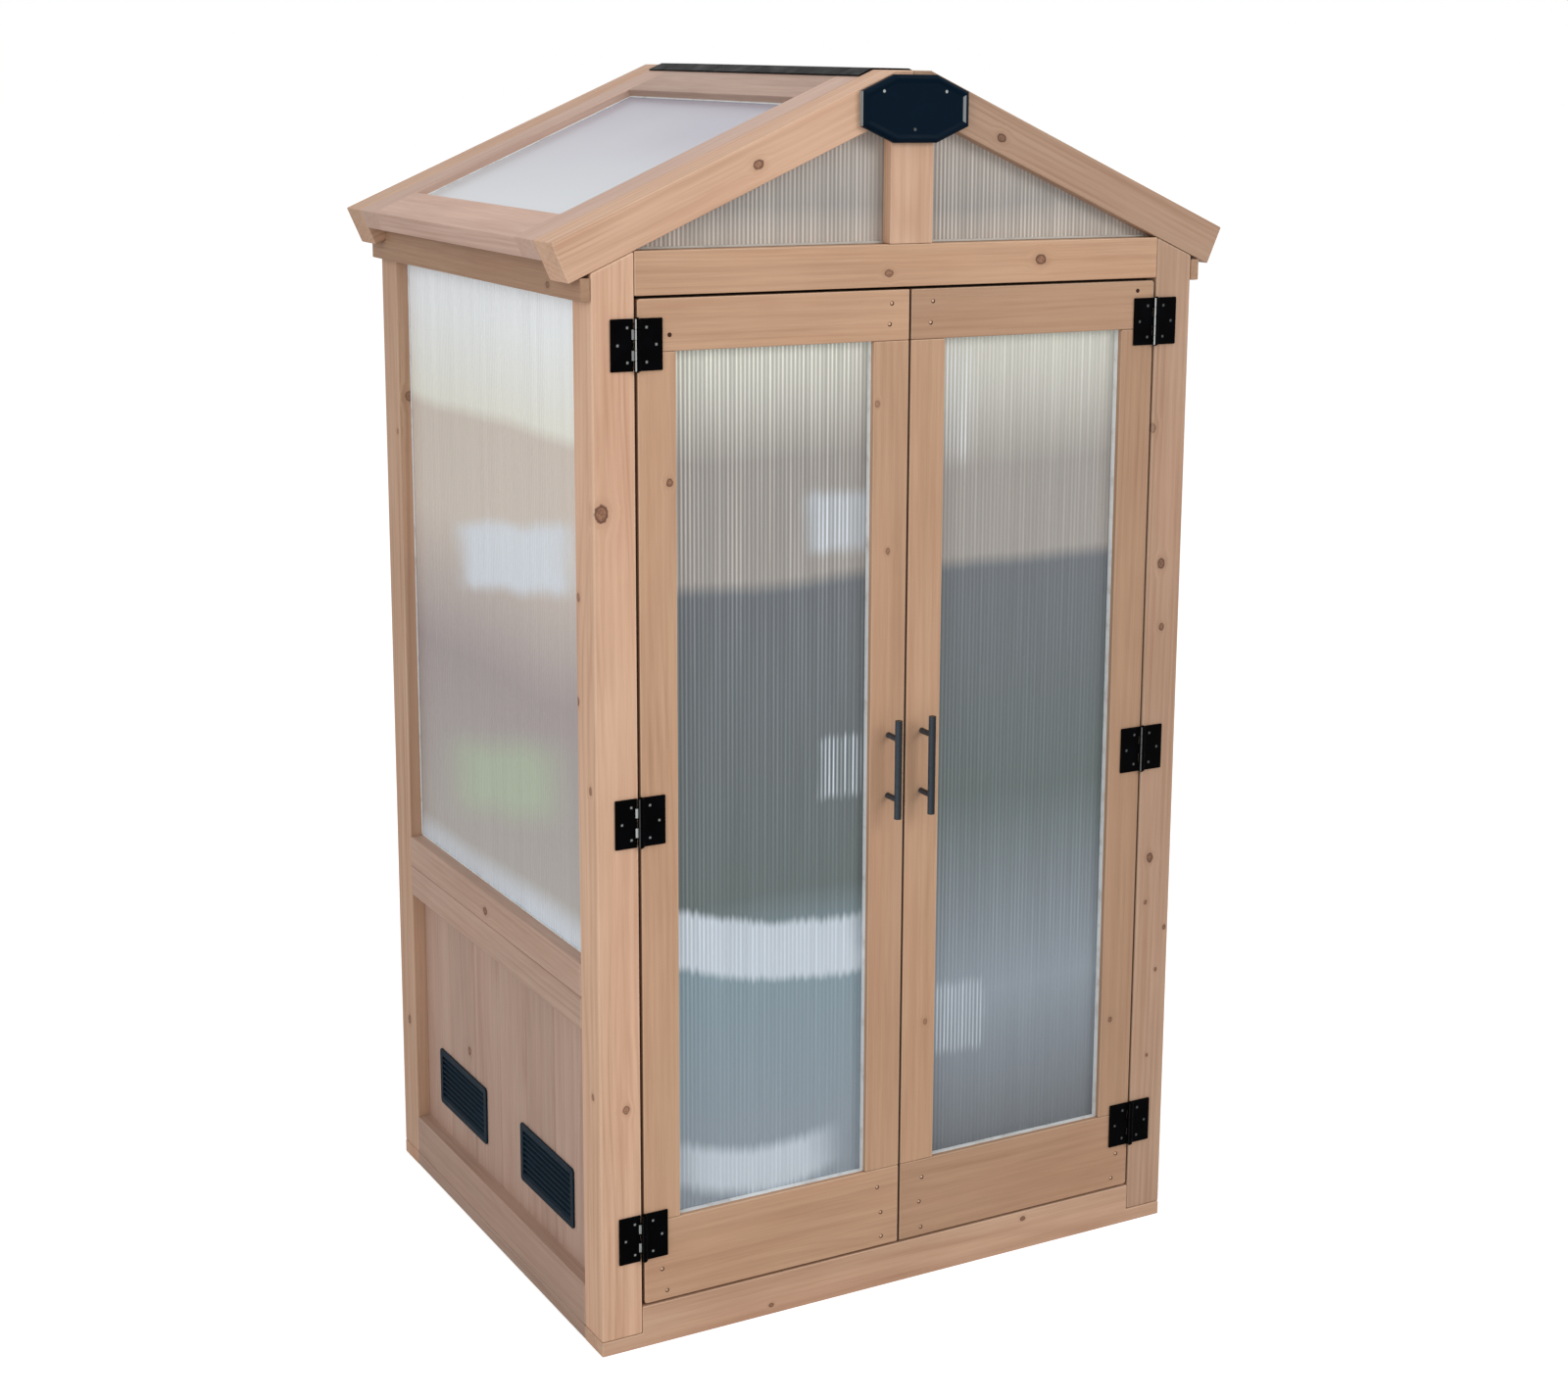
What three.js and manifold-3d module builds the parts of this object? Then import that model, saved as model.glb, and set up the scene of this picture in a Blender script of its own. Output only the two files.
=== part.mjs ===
// A wooden mini greenhouse with two glazed doors, an apex roof and boarded lower walls.
// Lengths are millimetres. X runs to the right, Y from the doors to the back, Z up.
// The pieces are placed from the front plane of the posts, which is Y zero inside the carcass group.

import * as THREE from "three";
import { mergeVertices } from "three/addons/utils/BufferGeometryUtils.js";
import Module from "manifold-3d";

const wasm = await Module();
wasm.setup();

// Carcass
const bodyWidth = 900;
const bodyDepth = 758;
const postSize = 58;
const baseHeight = 20;
const sillHeight = 58;
const doorwayTop = 1397;
const lintelHeight = 55;
const railDepth = 40;
const bottomRailTop = 79;
const midRailBottom = 437;
const midRailHeight = 45.5;

// Roof
const roofSlope = THREE.MathUtils.degToRad(23.8);
const rakeDepth = 54;
const rakeThickness = 58;
const eaveOverhang = 50;
const ridgeFlatWidth = 54;
const roofFrameThickness = 28;
const eaveRailWidth = 68;
const ridgeRailWidth = 90;
const roofStileWidth = 61;
const roofPaneDrop = 11;
const ridgeCapReach = 52;
const ridgeCapThickness = 2;
const eaveBoardThickness = 13;
const eaveBoardDrop = 5;

// Glazing and boards
const paneThickness = 6;
const wallRecess = 20;
const gableRecess = 20;
const boardThickness = 14;
const boardWidth = 100;
const boardNotchWidth = 4;
const boardNotchDepth = 2;
const seatDepth = 8;
const kingPostWidth = 64;

// Doors
const doorThickness = 36;
const doorSideGap = 3.5;
const doorEndGap = 3.5;
const meetingGap = 3;
const hingeStileWidth = 52.5;
const meetingStileWidth = 52.5;
const doorTopRailHeight = 66;
const doorBottomRailHeight = 114;
const doorPaneRecess = 16;
const doorCornerRadius = 8;
const stopHeight = 12;
const stopGap = 0.5;

// Butt hinges
const hingeHeight = 65;
const leafReach = 35;
const leafThickness = 2;
const barrelRadius = 4;
const pinRadius = 2;
const pinStandOut = 1.5;
const boreClearance = 0.6;
const knuckleGap = 0.3;
const barrelClearance = 0.8;
const topHingeDrop = 23.5;
const bottomHingeRise = 64;

// Pull handles
const handleLength = 136;
const handleRadius = 5;
const handleChamfer = 1;
const handleStandOff = 28;
const footRadius = 4;
const footSpacing = 84;
const handleInset = 26;
const handleHeight = 756;

// Side vents
const ventLength = 188;
const ventHeight = 87;
const ventFlangeThickness = 2.5;
const ventBorder = 10;
const ventCornerRadius = 6;
const ventCollarWall = 2;
const ventCollarDepth = 8;
const ventHoleClearance = 0.5;
const slatThickness = 1.6;
const slatDrop = 5;
const slatBite = 1;
const frontVentMargin = 76;
const backVentMargin = 59;
const ventRise = 43;

// Gable plate
const plateWidth = 157;
const plateHeight = 86;
const plateTopEdge = 62;
const plateSideEdge = 44;
const plateThickness = 12;
const plateBevel = 4;
const plateScrewRadius = 4;
const plateScrewHead = 1.2;
const plateScrewSpacing = 93;
const plateScrewDrop = 21;
const plateScrewRise = 17;
const plateRidgeDrop = 5;

// Fits, joints shown as lines, and how far a cutter runs past what it cuts
const seatGap = 0.3;
const seamWidth = 0.8;
const seamDepth = 1;
const overrun = 5;

// Counts
const knuckleCount = 5;
const slatCount = 8;
const roundSides = 12;
const boreSides = 8;
const cornerSteps = 4;
const half = 0.5;

// Places worked out from the sizes
const bodyHalf = bodyWidth * half;
const doorwayHalf = bodyHalf - postSize;
const backPostFront = bodyDepth - postSize;
const lintelTop = doorwayTop + lintelHeight;
const slopeTan = Math.tan(roofSlope);
const slopeSin = Math.sin(roofSlope);
const slopeCos = Math.cos(roofSlope);
const slopeGap = seatGap / slopeCos;
const doorBottom = sillHeight + doorEndGap;
const doorTop = doorwayTop - doorEndGap;
const handleReach = handleStandOff + handleRadius;
const frontPlaneY = (handleReach - bodyDepth) * half;

const ventCentreHeight = bottomRailTop + ventRise + ventHeight * half;
const frontVentCentre = postSize + frontVentMargin + ventLength * half;
const backVentCentre = backPostFront - backVentMargin - ventLength * half;

// Height of what the rakes sit on, of their underside and of the roof's upper surface, at a distance x
const seatLineAt = (x) => lintelTop + (doorwayHalf - x) * slopeTan;
const rakeUndersideAt = (x) => seatLineAt(x) + slopeGap;
const roofTopAt = (x) => rakeUndersideAt(x) + rakeDepth / slopeCos;
const frameUndersideAt = (x) => roofTopAt(x) - roofFrameThickness / slopeCos;
const ridgeTop = roofTopAt(ridgeFlatWidth * half);

// A point of the roof: how far down the slope, how far off its upper surface, and on which side
function slopePoint(side, down, off) {
  const x = down * slopeCos + off * slopeSin;
  const z = roofTopAt(0) - down * slopeSin + off * slopeCos;
  return [side * x, z];
}

// Solids
function solidOf(geometry) {
  const bare = geometry.clone();
  bare.deleteAttribute("normal");
  bare.deleteAttribute("uv");
  const merged = mergeVertices(bare);
  const vertProperties = new Float32Array(merged.attributes.position.array);
  const triVerts = new Uint32Array(merged.index.array);
  return new wasm.Manifold(new wasm.Mesh({ numProp: 3, vertProperties, triVerts }));
}

function geometryOf(solid) {
  const mesh = solid.getMesh();
  const geometry = new THREE.BufferGeometry();
  geometry.setAttribute("position", new THREE.BufferAttribute(mesh.vertProperties, 3));
  geometry.setIndex(new THREE.BufferAttribute(mesh.triVerts, 1));
  geometry.computeVertexNormals();
  return geometry;
}

// A block between two corners, given as ranges that may run either way
function block([x0, x1], [y0, y1], [z0, z1]) {
  const size = [Math.abs(x1 - x0), Math.abs(y1 - y0), Math.abs(z1 - z0)];
  const geometry = new THREE.BoxGeometry(...size);
  geometry.translate((x0 + x1) * half, (y0 + y1) * half, (z0 + z1) * half);
  return solidOf(geometry);
}

function extruded(outline, depth, axes, origin) {
  const shape = outline instanceof THREE.Shape ? outline : shapeOf(outline);
  const settings = { depth, bevelEnabled: false, curveSegments: cornerSteps };
  const geometry = new THREE.ExtrudeGeometry(shape, settings);
  geometry.applyMatrix4(new THREE.Matrix4().makeBasis(...axes));
  geometry.translate(...origin);
  return solidOf(geometry);
}

function shapeOf(points) {
  return new THREE.Shape(points.map(([a, b]) => new THREE.Vector2(a, b)));
}

const alongX = new THREE.Vector3(1, 0, 0);
const alongY = new THREE.Vector3(0, 1, 0);
const alongZ = new THREE.Vector3(0, 0, 1);
const towardFront = new THREE.Vector3(0, -1, 0);

// Prisms: an outline in Y and Z drawn out along X, in X and Z along Y, and in X and Y along Z
function prismX(outline, [x0, x1]) {
  return extruded(outline, x1 - x0, [alongY, alongZ, alongX], [x0, 0, 0]);
}

function prismY(outline, [y0, y1]) {
  return extruded(outline, y1 - y0, [alongX, alongZ, towardFront], [0, y1, 0]);
}

function prismZ(outline, [z0, z1]) {
  return extruded(outline, z1 - z0, [alongX, alongY, alongZ], [0, 0, z0]);
}

function rod(radius, [z0, z1], sides, [x, y]) {
  const geometry = new THREE.CylinderGeometry(radius, radius, z1 - z0, sides);
  geometry.rotateX(Math.PI * half);
  geometry.translate(x, y, (z0 + z1) * half);
  return solidOf(geometry);
}

const joined = (solids) => solids.reduce((whole, next) => whole.add(next));
const cutBy = (solid, cutters) => cutters.reduce((rest, cutter) => rest.subtract(cutter), solid);
const grown = ([low, high], by) => [low - by, high + by];

// Finishes
const finishes = {
  timber: { color: 0xcda587, roughness: 0.62, metalness: 0 },
  board: { color: 0xb9957b, roughness: 0.66, metalness: 0 },
  glazing: { color: 0xd5dade, roughness: 0.22, metalness: 0, transparent: true, opacity: 0.6 },
  steel: { color: 0x101216, roughness: 0.42, metalness: 0.6 },
  plastic: { color: 0x14242c, roughness: 0.5, metalness: 0 },
  strip: { color: 0x0b0b0d, roughness: 0.55, metalness: 0 },
  plate: { color: 0x0f1722, roughness: 0.35, metalness: 0.4 },
};

function addPiece(group, name, solid, finish) {
  const mesh = new THREE.Mesh(geometryOf(solid), new THREE.MeshStandardMaterial(finishes[finish]));
  mesh.name = name;
  group.add(mesh);
}

const sides = [
  { name: "left", sign: -1 },
  { name: "right", sign: 1 },
];

// Ranges shared by neighbours
const betweenPosts = [postSize + seatGap, backPostFront - seatGap];
const frontRakeRange = [0, rakeThickness];
const backRakeRange = [bodyDepth - rakeThickness, bodyDepth];
const betweenRakes = [frontRakeRange[1] + seatGap, backRakeRange[0] - seatGap];
const betweenFrontPosts = [seatGap - doorwayHalf, doorwayHalf - seatGap];
const midRailSeam = midRailBottom + midRailHeight;
const midRailTop = midRailSeam + midRailHeight;

// Panes and boards, each also wanted a little larger as the cutter of its grooves
function sidePane(sign, growth) {
  const outer = bodyHalf - wallRecess + growth;
  const inner = bodyHalf - wallRecess - paneThickness - growth;
  const across = grown([postSize, backPostFront], seatDepth + growth);
  const upright = grown([midRailTop, doorwayTop], seatDepth + growth);
  return block([sign * inner, sign * outer], across, upright);
}

function sideBoardField(sign, growth) {
  const outer = bodyHalf - wallRecess + growth;
  const inner = bodyHalf - wallRecess - boardThickness - growth;
  const across = grown([postSize, backPostFront], seatDepth + growth);
  const upright = grown([bottomRailTop, midRailBottom], seatDepth + growth);
  return block([sign * inner, sign * outer], across, upright);
}

// A gable's outline, from its foot up into the grooves of the rakes
function gableOutline(foot, edge, growth) {
  const rise = (seatDepth + growth) / slopeCos;
  return [
    [-edge, foot - seatDepth - growth],
    [edge, foot - seatDepth - growth],
    [edge, rakeUndersideAt(edge) + rise],
    [0, rakeUndersideAt(0) + rise],
    [-edge, rakeUndersideAt(edge) + rise],
  ];
}

function gablePane(growth) {
  const outline = gableOutline(lintelTop, doorwayHalf - seatGap + growth, growth);
  return prismY(outline, grown([gableRecess, gableRecess + paneThickness], growth));
}

function backBoardField(growth) {
  const outline = gableOutline(sillHeight, doorwayHalf + seatDepth + growth, growth);
  const outerFace = bodyDepth - wallRecess;
  return prismY(outline, grown([outerFace - boardThickness, outerFace], growth));
}

// Posts, with their tops cut along the roof
function post(sign, range) {
  const outline = [
    [sign * doorwayHalf, baseHeight + seatGap],
    [sign * bodyHalf, baseHeight + seatGap],
    [sign * bodyHalf, seatLineAt(bodyHalf)],
    [sign * doorwayHalf, seatLineAt(doorwayHalf)],
  ];
  const grooves = [sidePane(sign, seatGap), sideBoardField(sign, seatGap), backBoardField(seatGap)];
  return cutBy(prismY(outline, range), grooves);
}

// Sills, low under the posts and taller between them; the front one rises again behind the doors
function frontSill() {
  const low = block([-bodyHalf, bodyHalf], [0, postSize], [0, baseHeight]);
  const stopFace = doorThickness + stopGap;
  const section = [
    [0, 0],
    [postSize, 0],
    [postSize, sillHeight + stopHeight],
    [stopFace, sillHeight + stopHeight],
    [stopFace, sillHeight],
    [0, sillHeight],
  ];
  return low.add(prismX(section, betweenFrontPosts));
}

function backSill() {
  const low = block([-bodyHalf, bodyHalf], [backPostFront, bodyDepth], [0, baseHeight]);
  const high = block(betweenFrontPosts, [backPostFront, bodyDepth], [0, sillHeight]);
  return cutBy(low.add(high), [backBoardField(seatGap)]);
}

function baseStrip(sign) {
  return block([sign * (bodyHalf - postSize), sign * bodyHalf], betweenPosts, [0, baseHeight]);
}

function sideRail(sign, range, grooves) {
  return cutBy(block([sign * (bodyHalf - railDepth), sign * bodyHalf], betweenPosts, range), grooves);
}

// Lintel over the doors, with a rebate that stops them
function lintel() {
  const stopFace = doorThickness + stopGap;
  const section = [
    [0, doorwayTop],
    [stopFace, doorwayTop],
    [stopFace, doorwayTop - stopHeight],
    [postSize, doorwayTop - stopHeight],
    [postSize, lintelTop],
    [0, lintelTop],
  ];
  return cutBy(prismX(section, betweenFrontPosts), [gablePane(seatGap)]);
}

function kingPost() {
  const edge = kingPostWidth * half;
  const outline = [
    [-edge, lintelTop + seatGap],
    [edge, lintelTop + seatGap],
    [edge, seatLineAt(edge)],
    [0, seatLineAt(0)],
    [-edge, seatLineAt(edge)],
  ];
  return prismY(outline, [0, gableRecess - seatGap]);
}

// Plate between the posts and the board outside them, which rises between the rakes
function eaveBeam(sign) {
  const innerFace = bodyHalf + seatGap;
  const outerFace = innerFace + eaveBoardThickness;
  const top = frameUndersideAt(outerFace) - slopeGap;
  const endTop = seatLineAt(outerFace);
  const foot = doorwayTop - eaveBoardDrop;
  const [riseStart, riseEnd] = betweenRakes;
  const outline = [
    [0, foot],
    [bodyDepth, foot],
    [bodyDepth, endTop],
    [riseEnd, endTop],
    [riseEnd, top],
    [riseStart, top],
    [riseStart, endTop],
    [0, endTop],
  ];
  const range = sign > 0 ? [innerFace, outerFace] : [-outerFace, -innerFace];
  const board = prismX(outline, range);
  const plateRange = [sign * (bodyHalf - railDepth), sign * (innerFace + eaveBoardThickness * half)];
  const plate = block(plateRange, betweenPosts, [doorwayTop, top]);
  return cutBy(board.add(plate), [sidePane(sign, seatGap)]);
}

// Rakes meet in a plumb cut, and the peak is cut flat
function rake(sign, range) {
  const reach = bodyHalf + eaveOverhang;
  const outline = [
    [sign * seatGap * half, rakeUndersideAt(seatGap * half)],
    [sign * seatGap * half, ridgeTop],
    [sign * ridgeFlatWidth * half, ridgeTop],
    [sign * reach, roofTopAt(reach)],
    [sign * (reach - rakeDepth * slopeSin), roofTopAt(reach) - rakeDepth * slopeCos],
  ];
  return cutBy(prismY(outline, range), [gablePane(seatGap), backBoardField(seatGap)]);
}

// Roof frame of one slope: ridge rail, eave rail and two stiles round the pane's opening
const roofEnd = (bodyHalf + eaveOverhang) / slopeCos;
const roofOpening = [ridgeRailWidth + ridgeFlatWidth * half / slopeCos, roofEnd - eaveRailWidth];
const roofOpeningAcross = [betweenRakes[0] + roofStileWidth, betweenRakes[1] - roofStileWidth];

function slopeBlock(sign, [down0, down1], range, [off0, off1]) {
  const outline = [
    slopePoint(sign, down0, off0),
    slopePoint(sign, down1, off0),
    slopePoint(sign, down1, off1),
    slopePoint(sign, down0, off1),
  ];
  return prismY(outline, range);
}

function roofPane(sign, growth) {
  const down = grown(roofOpening, seatDepth + growth);
  const across = grown(roofOpeningAcross, seatDepth + growth);
  const thickness = grown([-roofPaneDrop - paneThickness, -roofPaneDrop], growth);
  return slopeBlock(sign, down, across, thickness);
}

function roofFrame(sign) {
  const reach = bodyHalf + eaveOverhang;
  const start = seatGap * half;
  const outline = [
    [sign * start, frameUndersideAt(start)],
    [sign * start, ridgeTop],
    [sign * ridgeFlatWidth * half, ridgeTop],
    [sign * reach, roofTopAt(reach)],
    [sign * (reach - roofFrameThickness * slopeSin), roofTopAt(reach) - roofFrameThickness * slopeCos],
  ];
  const through = [-roofFrameThickness - overrun, overrun];
  const opening = slopeBlock(sign, roofOpening, roofOpeningAcross, through);
  const cutters = [opening, roofPane(sign, seatGap), ...roofSeams(sign)];
  return cutBy(prismY(outline, betweenRakes), cutters);
}

// The stiles run from ridge to eave, and a seam parts each from the rails between them
function roofSeams(sign) {
  const runs = [
    [-overrun, roofOpening[0]],
    [roofOpening[1], roofEnd + overrun],
  ];
  const depth = [-seamDepth, overrun];
  const places = roofOpeningAcross.map((across) => grown([across, across], seamWidth * half));
  return places.flatMap((place) => runs.map((run) => slopeBlock(sign, run, place, depth)));
}

// Black strip folded over the ridge between the rakes
function ridgeCap() {
  const corner = (off) => (roofTopAt(0) - ridgeTop + off / slopeCos - off) / slopeTan;
  const low = seatGap;
  const high = seatGap + ridgeCapThickness;
  const outline = [
    slopePoint(-1, ridgeCapReach, high),
    [-corner(high), ridgeTop + high],
    [corner(high), ridgeTop + high],
    slopePoint(1, ridgeCapReach, high),
    slopePoint(1, ridgeCapReach, low),
    [corner(low), ridgeTop + low],
    [-corner(low), ridgeTop + low],
    slopePoint(-1, ridgeCapReach, low),
  ];
  return prismY(outline, betweenRakes);
}

// Boards: one panel to a wall, with a notch at each board's edge
function seamsWithin(low, high) {
  const places = [];
  for (let at = Math.ceil(low / boardWidth) * boardWidth; at < high; at += boardWidth) {
    if (at - boardNotchWidth > low && at + boardNotchWidth < high) places.push(at);
  }
  return places;
}

function notch(at) {
  return [
    [at - boardNotchWidth * half, 0],
    [at, -boardNotchDepth],
    [at + boardNotchWidth * half, 0],
  ];
}

function boardCutter(at, outward, upright) {
  const run = [...notch(at), [at + boardNotchWidth * half, overrun], [at - boardNotchWidth * half, overrun]];
  return prismZ(run.map(([along, out]) => outward(along, out)), upright);
}

function sideBoards(sign, vents) {
  const face = bodyHalf - wallRecess;
  const outward = (along, out) => [sign * (face + out), along];
  const upright = grown([bottomRailTop, midRailBottom], seatDepth + overrun);
  const cutters = seamsWithin(postSize, backPostFront).map((at) => boardCutter(at, outward, upright));
  const holes = vents.map((centre) => ventHole(sign, centre));
  return cutBy(sideBoardField(sign, 0), [...cutters, ...holes]);
}

function backBoards() {
  const outward = (along, out) => [along, bodyDepth - wallRecess + out];
  const upright = [sillHeight - seatDepth - overrun, roofTopAt(0)];
  const cutters = seamsWithin(-doorwayHalf, doorwayHalf).map((at) => boardCutter(at, outward, upright));
  return cutBy(backBoardField(0), cutters);
}

// Louvred vents in the boards
const ventInside = [ventLength - 2 * ventBorder, ventHeight - 2 * ventBorder];

function ventBlock(sign, centre, out, [length, height], by) {
  const along = grown([centre, centre], length * half + by);
  const upright = grown([ventCentreHeight, ventCentreHeight], height * half + by);
  return block(out.map((x) => sign * x), along, upright);
}

function ventHole(sign, centre) {
  const face = bodyHalf - wallRecess;
  const through = [face - boardThickness - overrun, face + overrun];
  return ventBlock(sign, centre, through, ventInside, ventCollarWall + ventHoleClearance);
}

function roundedRectangle(centre, [length, height], radius) {
  const [x0, x1] = grown([centre[0], centre[0]], length * half);
  const [y0, y1] = grown([centre[1], centre[1]], height * half);
  const shape = new THREE.Shape();
  shape.moveTo(x0 + radius, y0);
  shape.lineTo(x1 - radius, y0);
  shape.absarc(x1 - radius, y0 + radius, radius, -Math.PI * half, 0);
  shape.absarc(x1 - radius, y1 - radius, radius, 0, Math.PI * half);
  shape.absarc(x0 + radius, y1 - radius, radius, Math.PI * half, Math.PI);
  shape.absarc(x0 + radius, y0 + radius, radius, Math.PI, -Math.PI * half, false);
  return shape;
}

function vent(sign, centre) {
  const back = bodyHalf - wallRecess + seatGap;
  const front = back + ventFlangeThickness;
  const inner = back - ventCollarDepth;
  const outline = roundedRectangle([centre, ventCentreHeight], [ventLength, ventHeight], ventCornerRadius);
  const flange = prismX(outline, sign > 0 ? [back, front] : [-front, -back]);
  const collar = ventBlock(sign, centre, [inner, front], ventInside, ventCollarWall);
  const hollow = ventBlock(sign, centre, [inner - overrun, front + overrun], ventInside, 0);
  const slats = [];
  for (let i = 0; i < slatCount; i += 1) slats.push(ventSlat(sign, centre, inner, front, i));
  return joined([flange.add(collar).subtract(hollow), ...slats]);
}

function ventSlat(sign, centre, inner, front, index) {
  const height = ventInside[1];
  const pitch = height / slatCount;
  const middle = ventCentreHeight - height * half + pitch * (index + half);
  const outerFoot = middle - (slatDrop + slatThickness) * half;
  const outline = [
    [sign * front, outerFoot],
    [sign * inner, outerFoot + slatDrop],
    [sign * inner, outerFoot + slatDrop + slatThickness],
    [sign * front, outerFoot + slatThickness],
  ];
  return prismY(outline, grown([centre, centre], ventInside[0] * half + slatBite));
}

// Octagonal plate with a bevelled front edge and three screw heads
function octagon(inset) {
  const x = plateWidth * half - inset;
  const z = plateHeight * half - inset;
  const topEdge = plateTopEdge * half - inset * half;
  const sideEdge = plateSideEdge * half - inset * half;
  return [
    [-topEdge, z],
    [topEdge, z],
    [x, sideEdge],
    [x, -sideEdge],
    [topEdge, -z],
    [-topEdge, -z],
    [-x, -sideEdge],
    [-x, sideEdge],
  ];
}

function screwHead([x, z], front) {
  const length = 2 * plateScrewHead;
  const geometry = new THREE.CylinderGeometry(plateScrewRadius, plateScrewRadius, length, boreSides);
  geometry.translate(x, front, z);
  return solidOf(geometry);
}

function gablePlate() {
  const centre = ridgeTop - plateRidgeDrop - plateHeight * half;
  const raise = (points) => points.map(([x, z]) => [x, z + centre]);
  const front = -seatGap - plateThickness;
  const shape = shapeOf(raise(octagon(plateBevel)));
  const settings = {
    depth: 2 * plateThickness,
    bevelThickness: plateBevel,
    bevelSize: plateBevel,
    bevelSegments: 1,
  };
  const geometry = new THREE.ExtrudeGeometry(shape, settings);
  geometry.applyMatrix4(new THREE.Matrix4().makeBasis(alongX, alongZ, towardFront));
  geometry.translate(0, front + plateBevel + 2 * plateThickness, 0);
  const width = grown([0, 0], plateWidth);
  const height = grown([centre, centre], plateHeight);
  const behind = block(width, [-seatGap, bodyDepth], height);
  const upper = centre + plateHeight * half - plateScrewDrop;
  const lower = centre - plateHeight * half + plateScrewRise;
  const places = [
    [-plateScrewSpacing * half, upper],
    [plateScrewSpacing * half, upper],
    [0, lower],
  ];
  const heads = places.map((place) => screwHead(place, front));
  return joined([solidOf(geometry).subtract(behind), ...heads]);
}

// Doors. A door is laid out from the doorway's middle, outward to its hinges
const doorEdge = doorwayHalf - doorSideGap;
const meetingEdge = meetingGap * half;
const doorOpening = [meetingEdge + meetingStileWidth, doorEdge - hingeStileWidth];
const doorOpeningUpright = [doorBottom + doorBottomRailHeight, doorTop - doorTopRailHeight];

function doorPane(sign, growth) {
  const across = grown(doorOpening, seatDepth + growth).map((x) => sign * x);
  const depth = grown([doorPaneRecess, doorPaneRecess + paneThickness], growth);
  const upright = grown(doorOpeningUpright, seatDepth + growth);
  return block(across, depth, upright);
}

function doorStile(sign, [from, to]) {
  const [low, high] = doorOpeningUpright;
  const stile = block([sign * from, sign * to], [0, doorThickness], [low + seatGap, high - seatGap]);
  return cutBy(stile, [doorPane(sign, seatGap)]);
}

// A rail across the whole door, its outer corner on the hinge side rounded
function doorRail(sign, inner, outer) {
  const toward = Math.sign(outer - inner);
  const edge = doorEdge - doorCornerRadius;
  const corner = outer - toward * doorCornerRadius;
  const outline = [
    [sign * meetingEdge, inner],
    [sign * meetingEdge, outer],
  ];
  for (let i = 0; i <= cornerSteps; i += 1) {
    const turn = (Math.PI * half * i) / cornerSteps;
    const x = edge + doorCornerRadius * Math.sin(turn);
    const z = corner + toward * doorCornerRadius * Math.cos(turn);
    outline.push([sign * x, z]);
  }
  outline.push([sign * doorEdge, inner]);
  return cutBy(prismY(outline, [0, doorThickness]), [doorPane(sign, seatGap)]);
}

function handle(sign) {
  const x = sign * handleInset;
  const end = handleLength * half;
  const tip = handleRadius - handleChamfer;
  const profile = [
    [0, -end],
    [tip, -end],
    [handleRadius, handleChamfer - end],
    [handleRadius, end - handleChamfer],
    [tip, end],
    [0, end],
  ];
  const bar = new THREE.LatheGeometry(profile.map(([r, h]) => new THREE.Vector2(r, h)), roundSides);
  bar.rotateX(Math.PI * half);
  bar.translate(x, -handleStandOff, handleHeight);
  const feet = [-1, 1].map((way) => handleFoot(x, handleHeight + way * footSpacing * half));
  return joined([solidOf(bar), ...feet]);
}

function handleFoot(x, z) {
  const length = handleStandOff - seatGap;
  const geometry = new THREE.CylinderGeometry(footRadius, footRadius, length, roundSides);
  geometry.translate(x, -seatGap - length * half, z);
  return solidOf(geometry);
}

// Hinges. Each leaf lies on its timber, and its knuckles turn on the pin of the post's leaf
const hingeAxisX = doorwayHalf - doorSideGap * half;
const hingeAxisY = -seatGap - barrelRadius;
const hingeFeet = {
  top: doorTop - topHingeDrop - hingeHeight,
  middle: (doorTop + doorBottom - hingeHeight) * half,
  bottom: doorBottom + bottomHingeRise,
};

function knuckleRange(foot, index) {
  const pitch = hingeHeight / knuckleCount;
  const low = foot + index * pitch;
  return grown([low, low + pitch], -knuckleGap * half);
}

function leaf(axisX, direction, foot, knuckles, barrelPart) {
  const depth = [-seatGap - leafThickness, -seatGap];
  const plateStart = barrelRadius + barrelClearance;
  const across = (from, to) => [axisX + direction * from, axisX + direction * to];
  const plate = block(across(plateStart, leafReach), depth, [foot, foot + hingeHeight]);
  const heights = knuckles.map((index) => knuckleRange(foot, index));
  const tabs = heights.map((range) => block(across(0, plateStart + seatGap), depth, range));
  const barrels = heights.map((range) => barrelPart(range));
  return joined([plate, ...tabs, ...barrels]);
}

function postLeaf(sign, foot) {
  const place = [sign * hingeAxisX, hingeAxisY];
  const barrel = (range) => rod(barrelRadius, range, roundSides, place);
  const knuckles = [];
  for (let i = 1; i < knuckleCount; i += 2) knuckles.push(i);
  const pin = rod(pinRadius, grown([foot, foot + hingeHeight], pinStandOut), boreSides, place);
  return leaf(place[0], sign, foot, knuckles, barrel).add(pin);
}

function doorLeaf(sign, foot) {
  const place = [sign * hingeAxisX, hingeAxisY];
  const barrel = (range) => rod(barrelRadius, range, roundSides, place);
  const knuckles = [];
  for (let i = 0; i < knuckleCount; i += 2) knuckles.push(i);
  const boreRange = grown([foot, foot + hingeHeight], overrun);
  const bore = rod(pinRadius + boreClearance, boreRange, boreSides, place);
  return leaf(place[0], -sign, foot, knuckles, barrel).subtract(bore);
}

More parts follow.
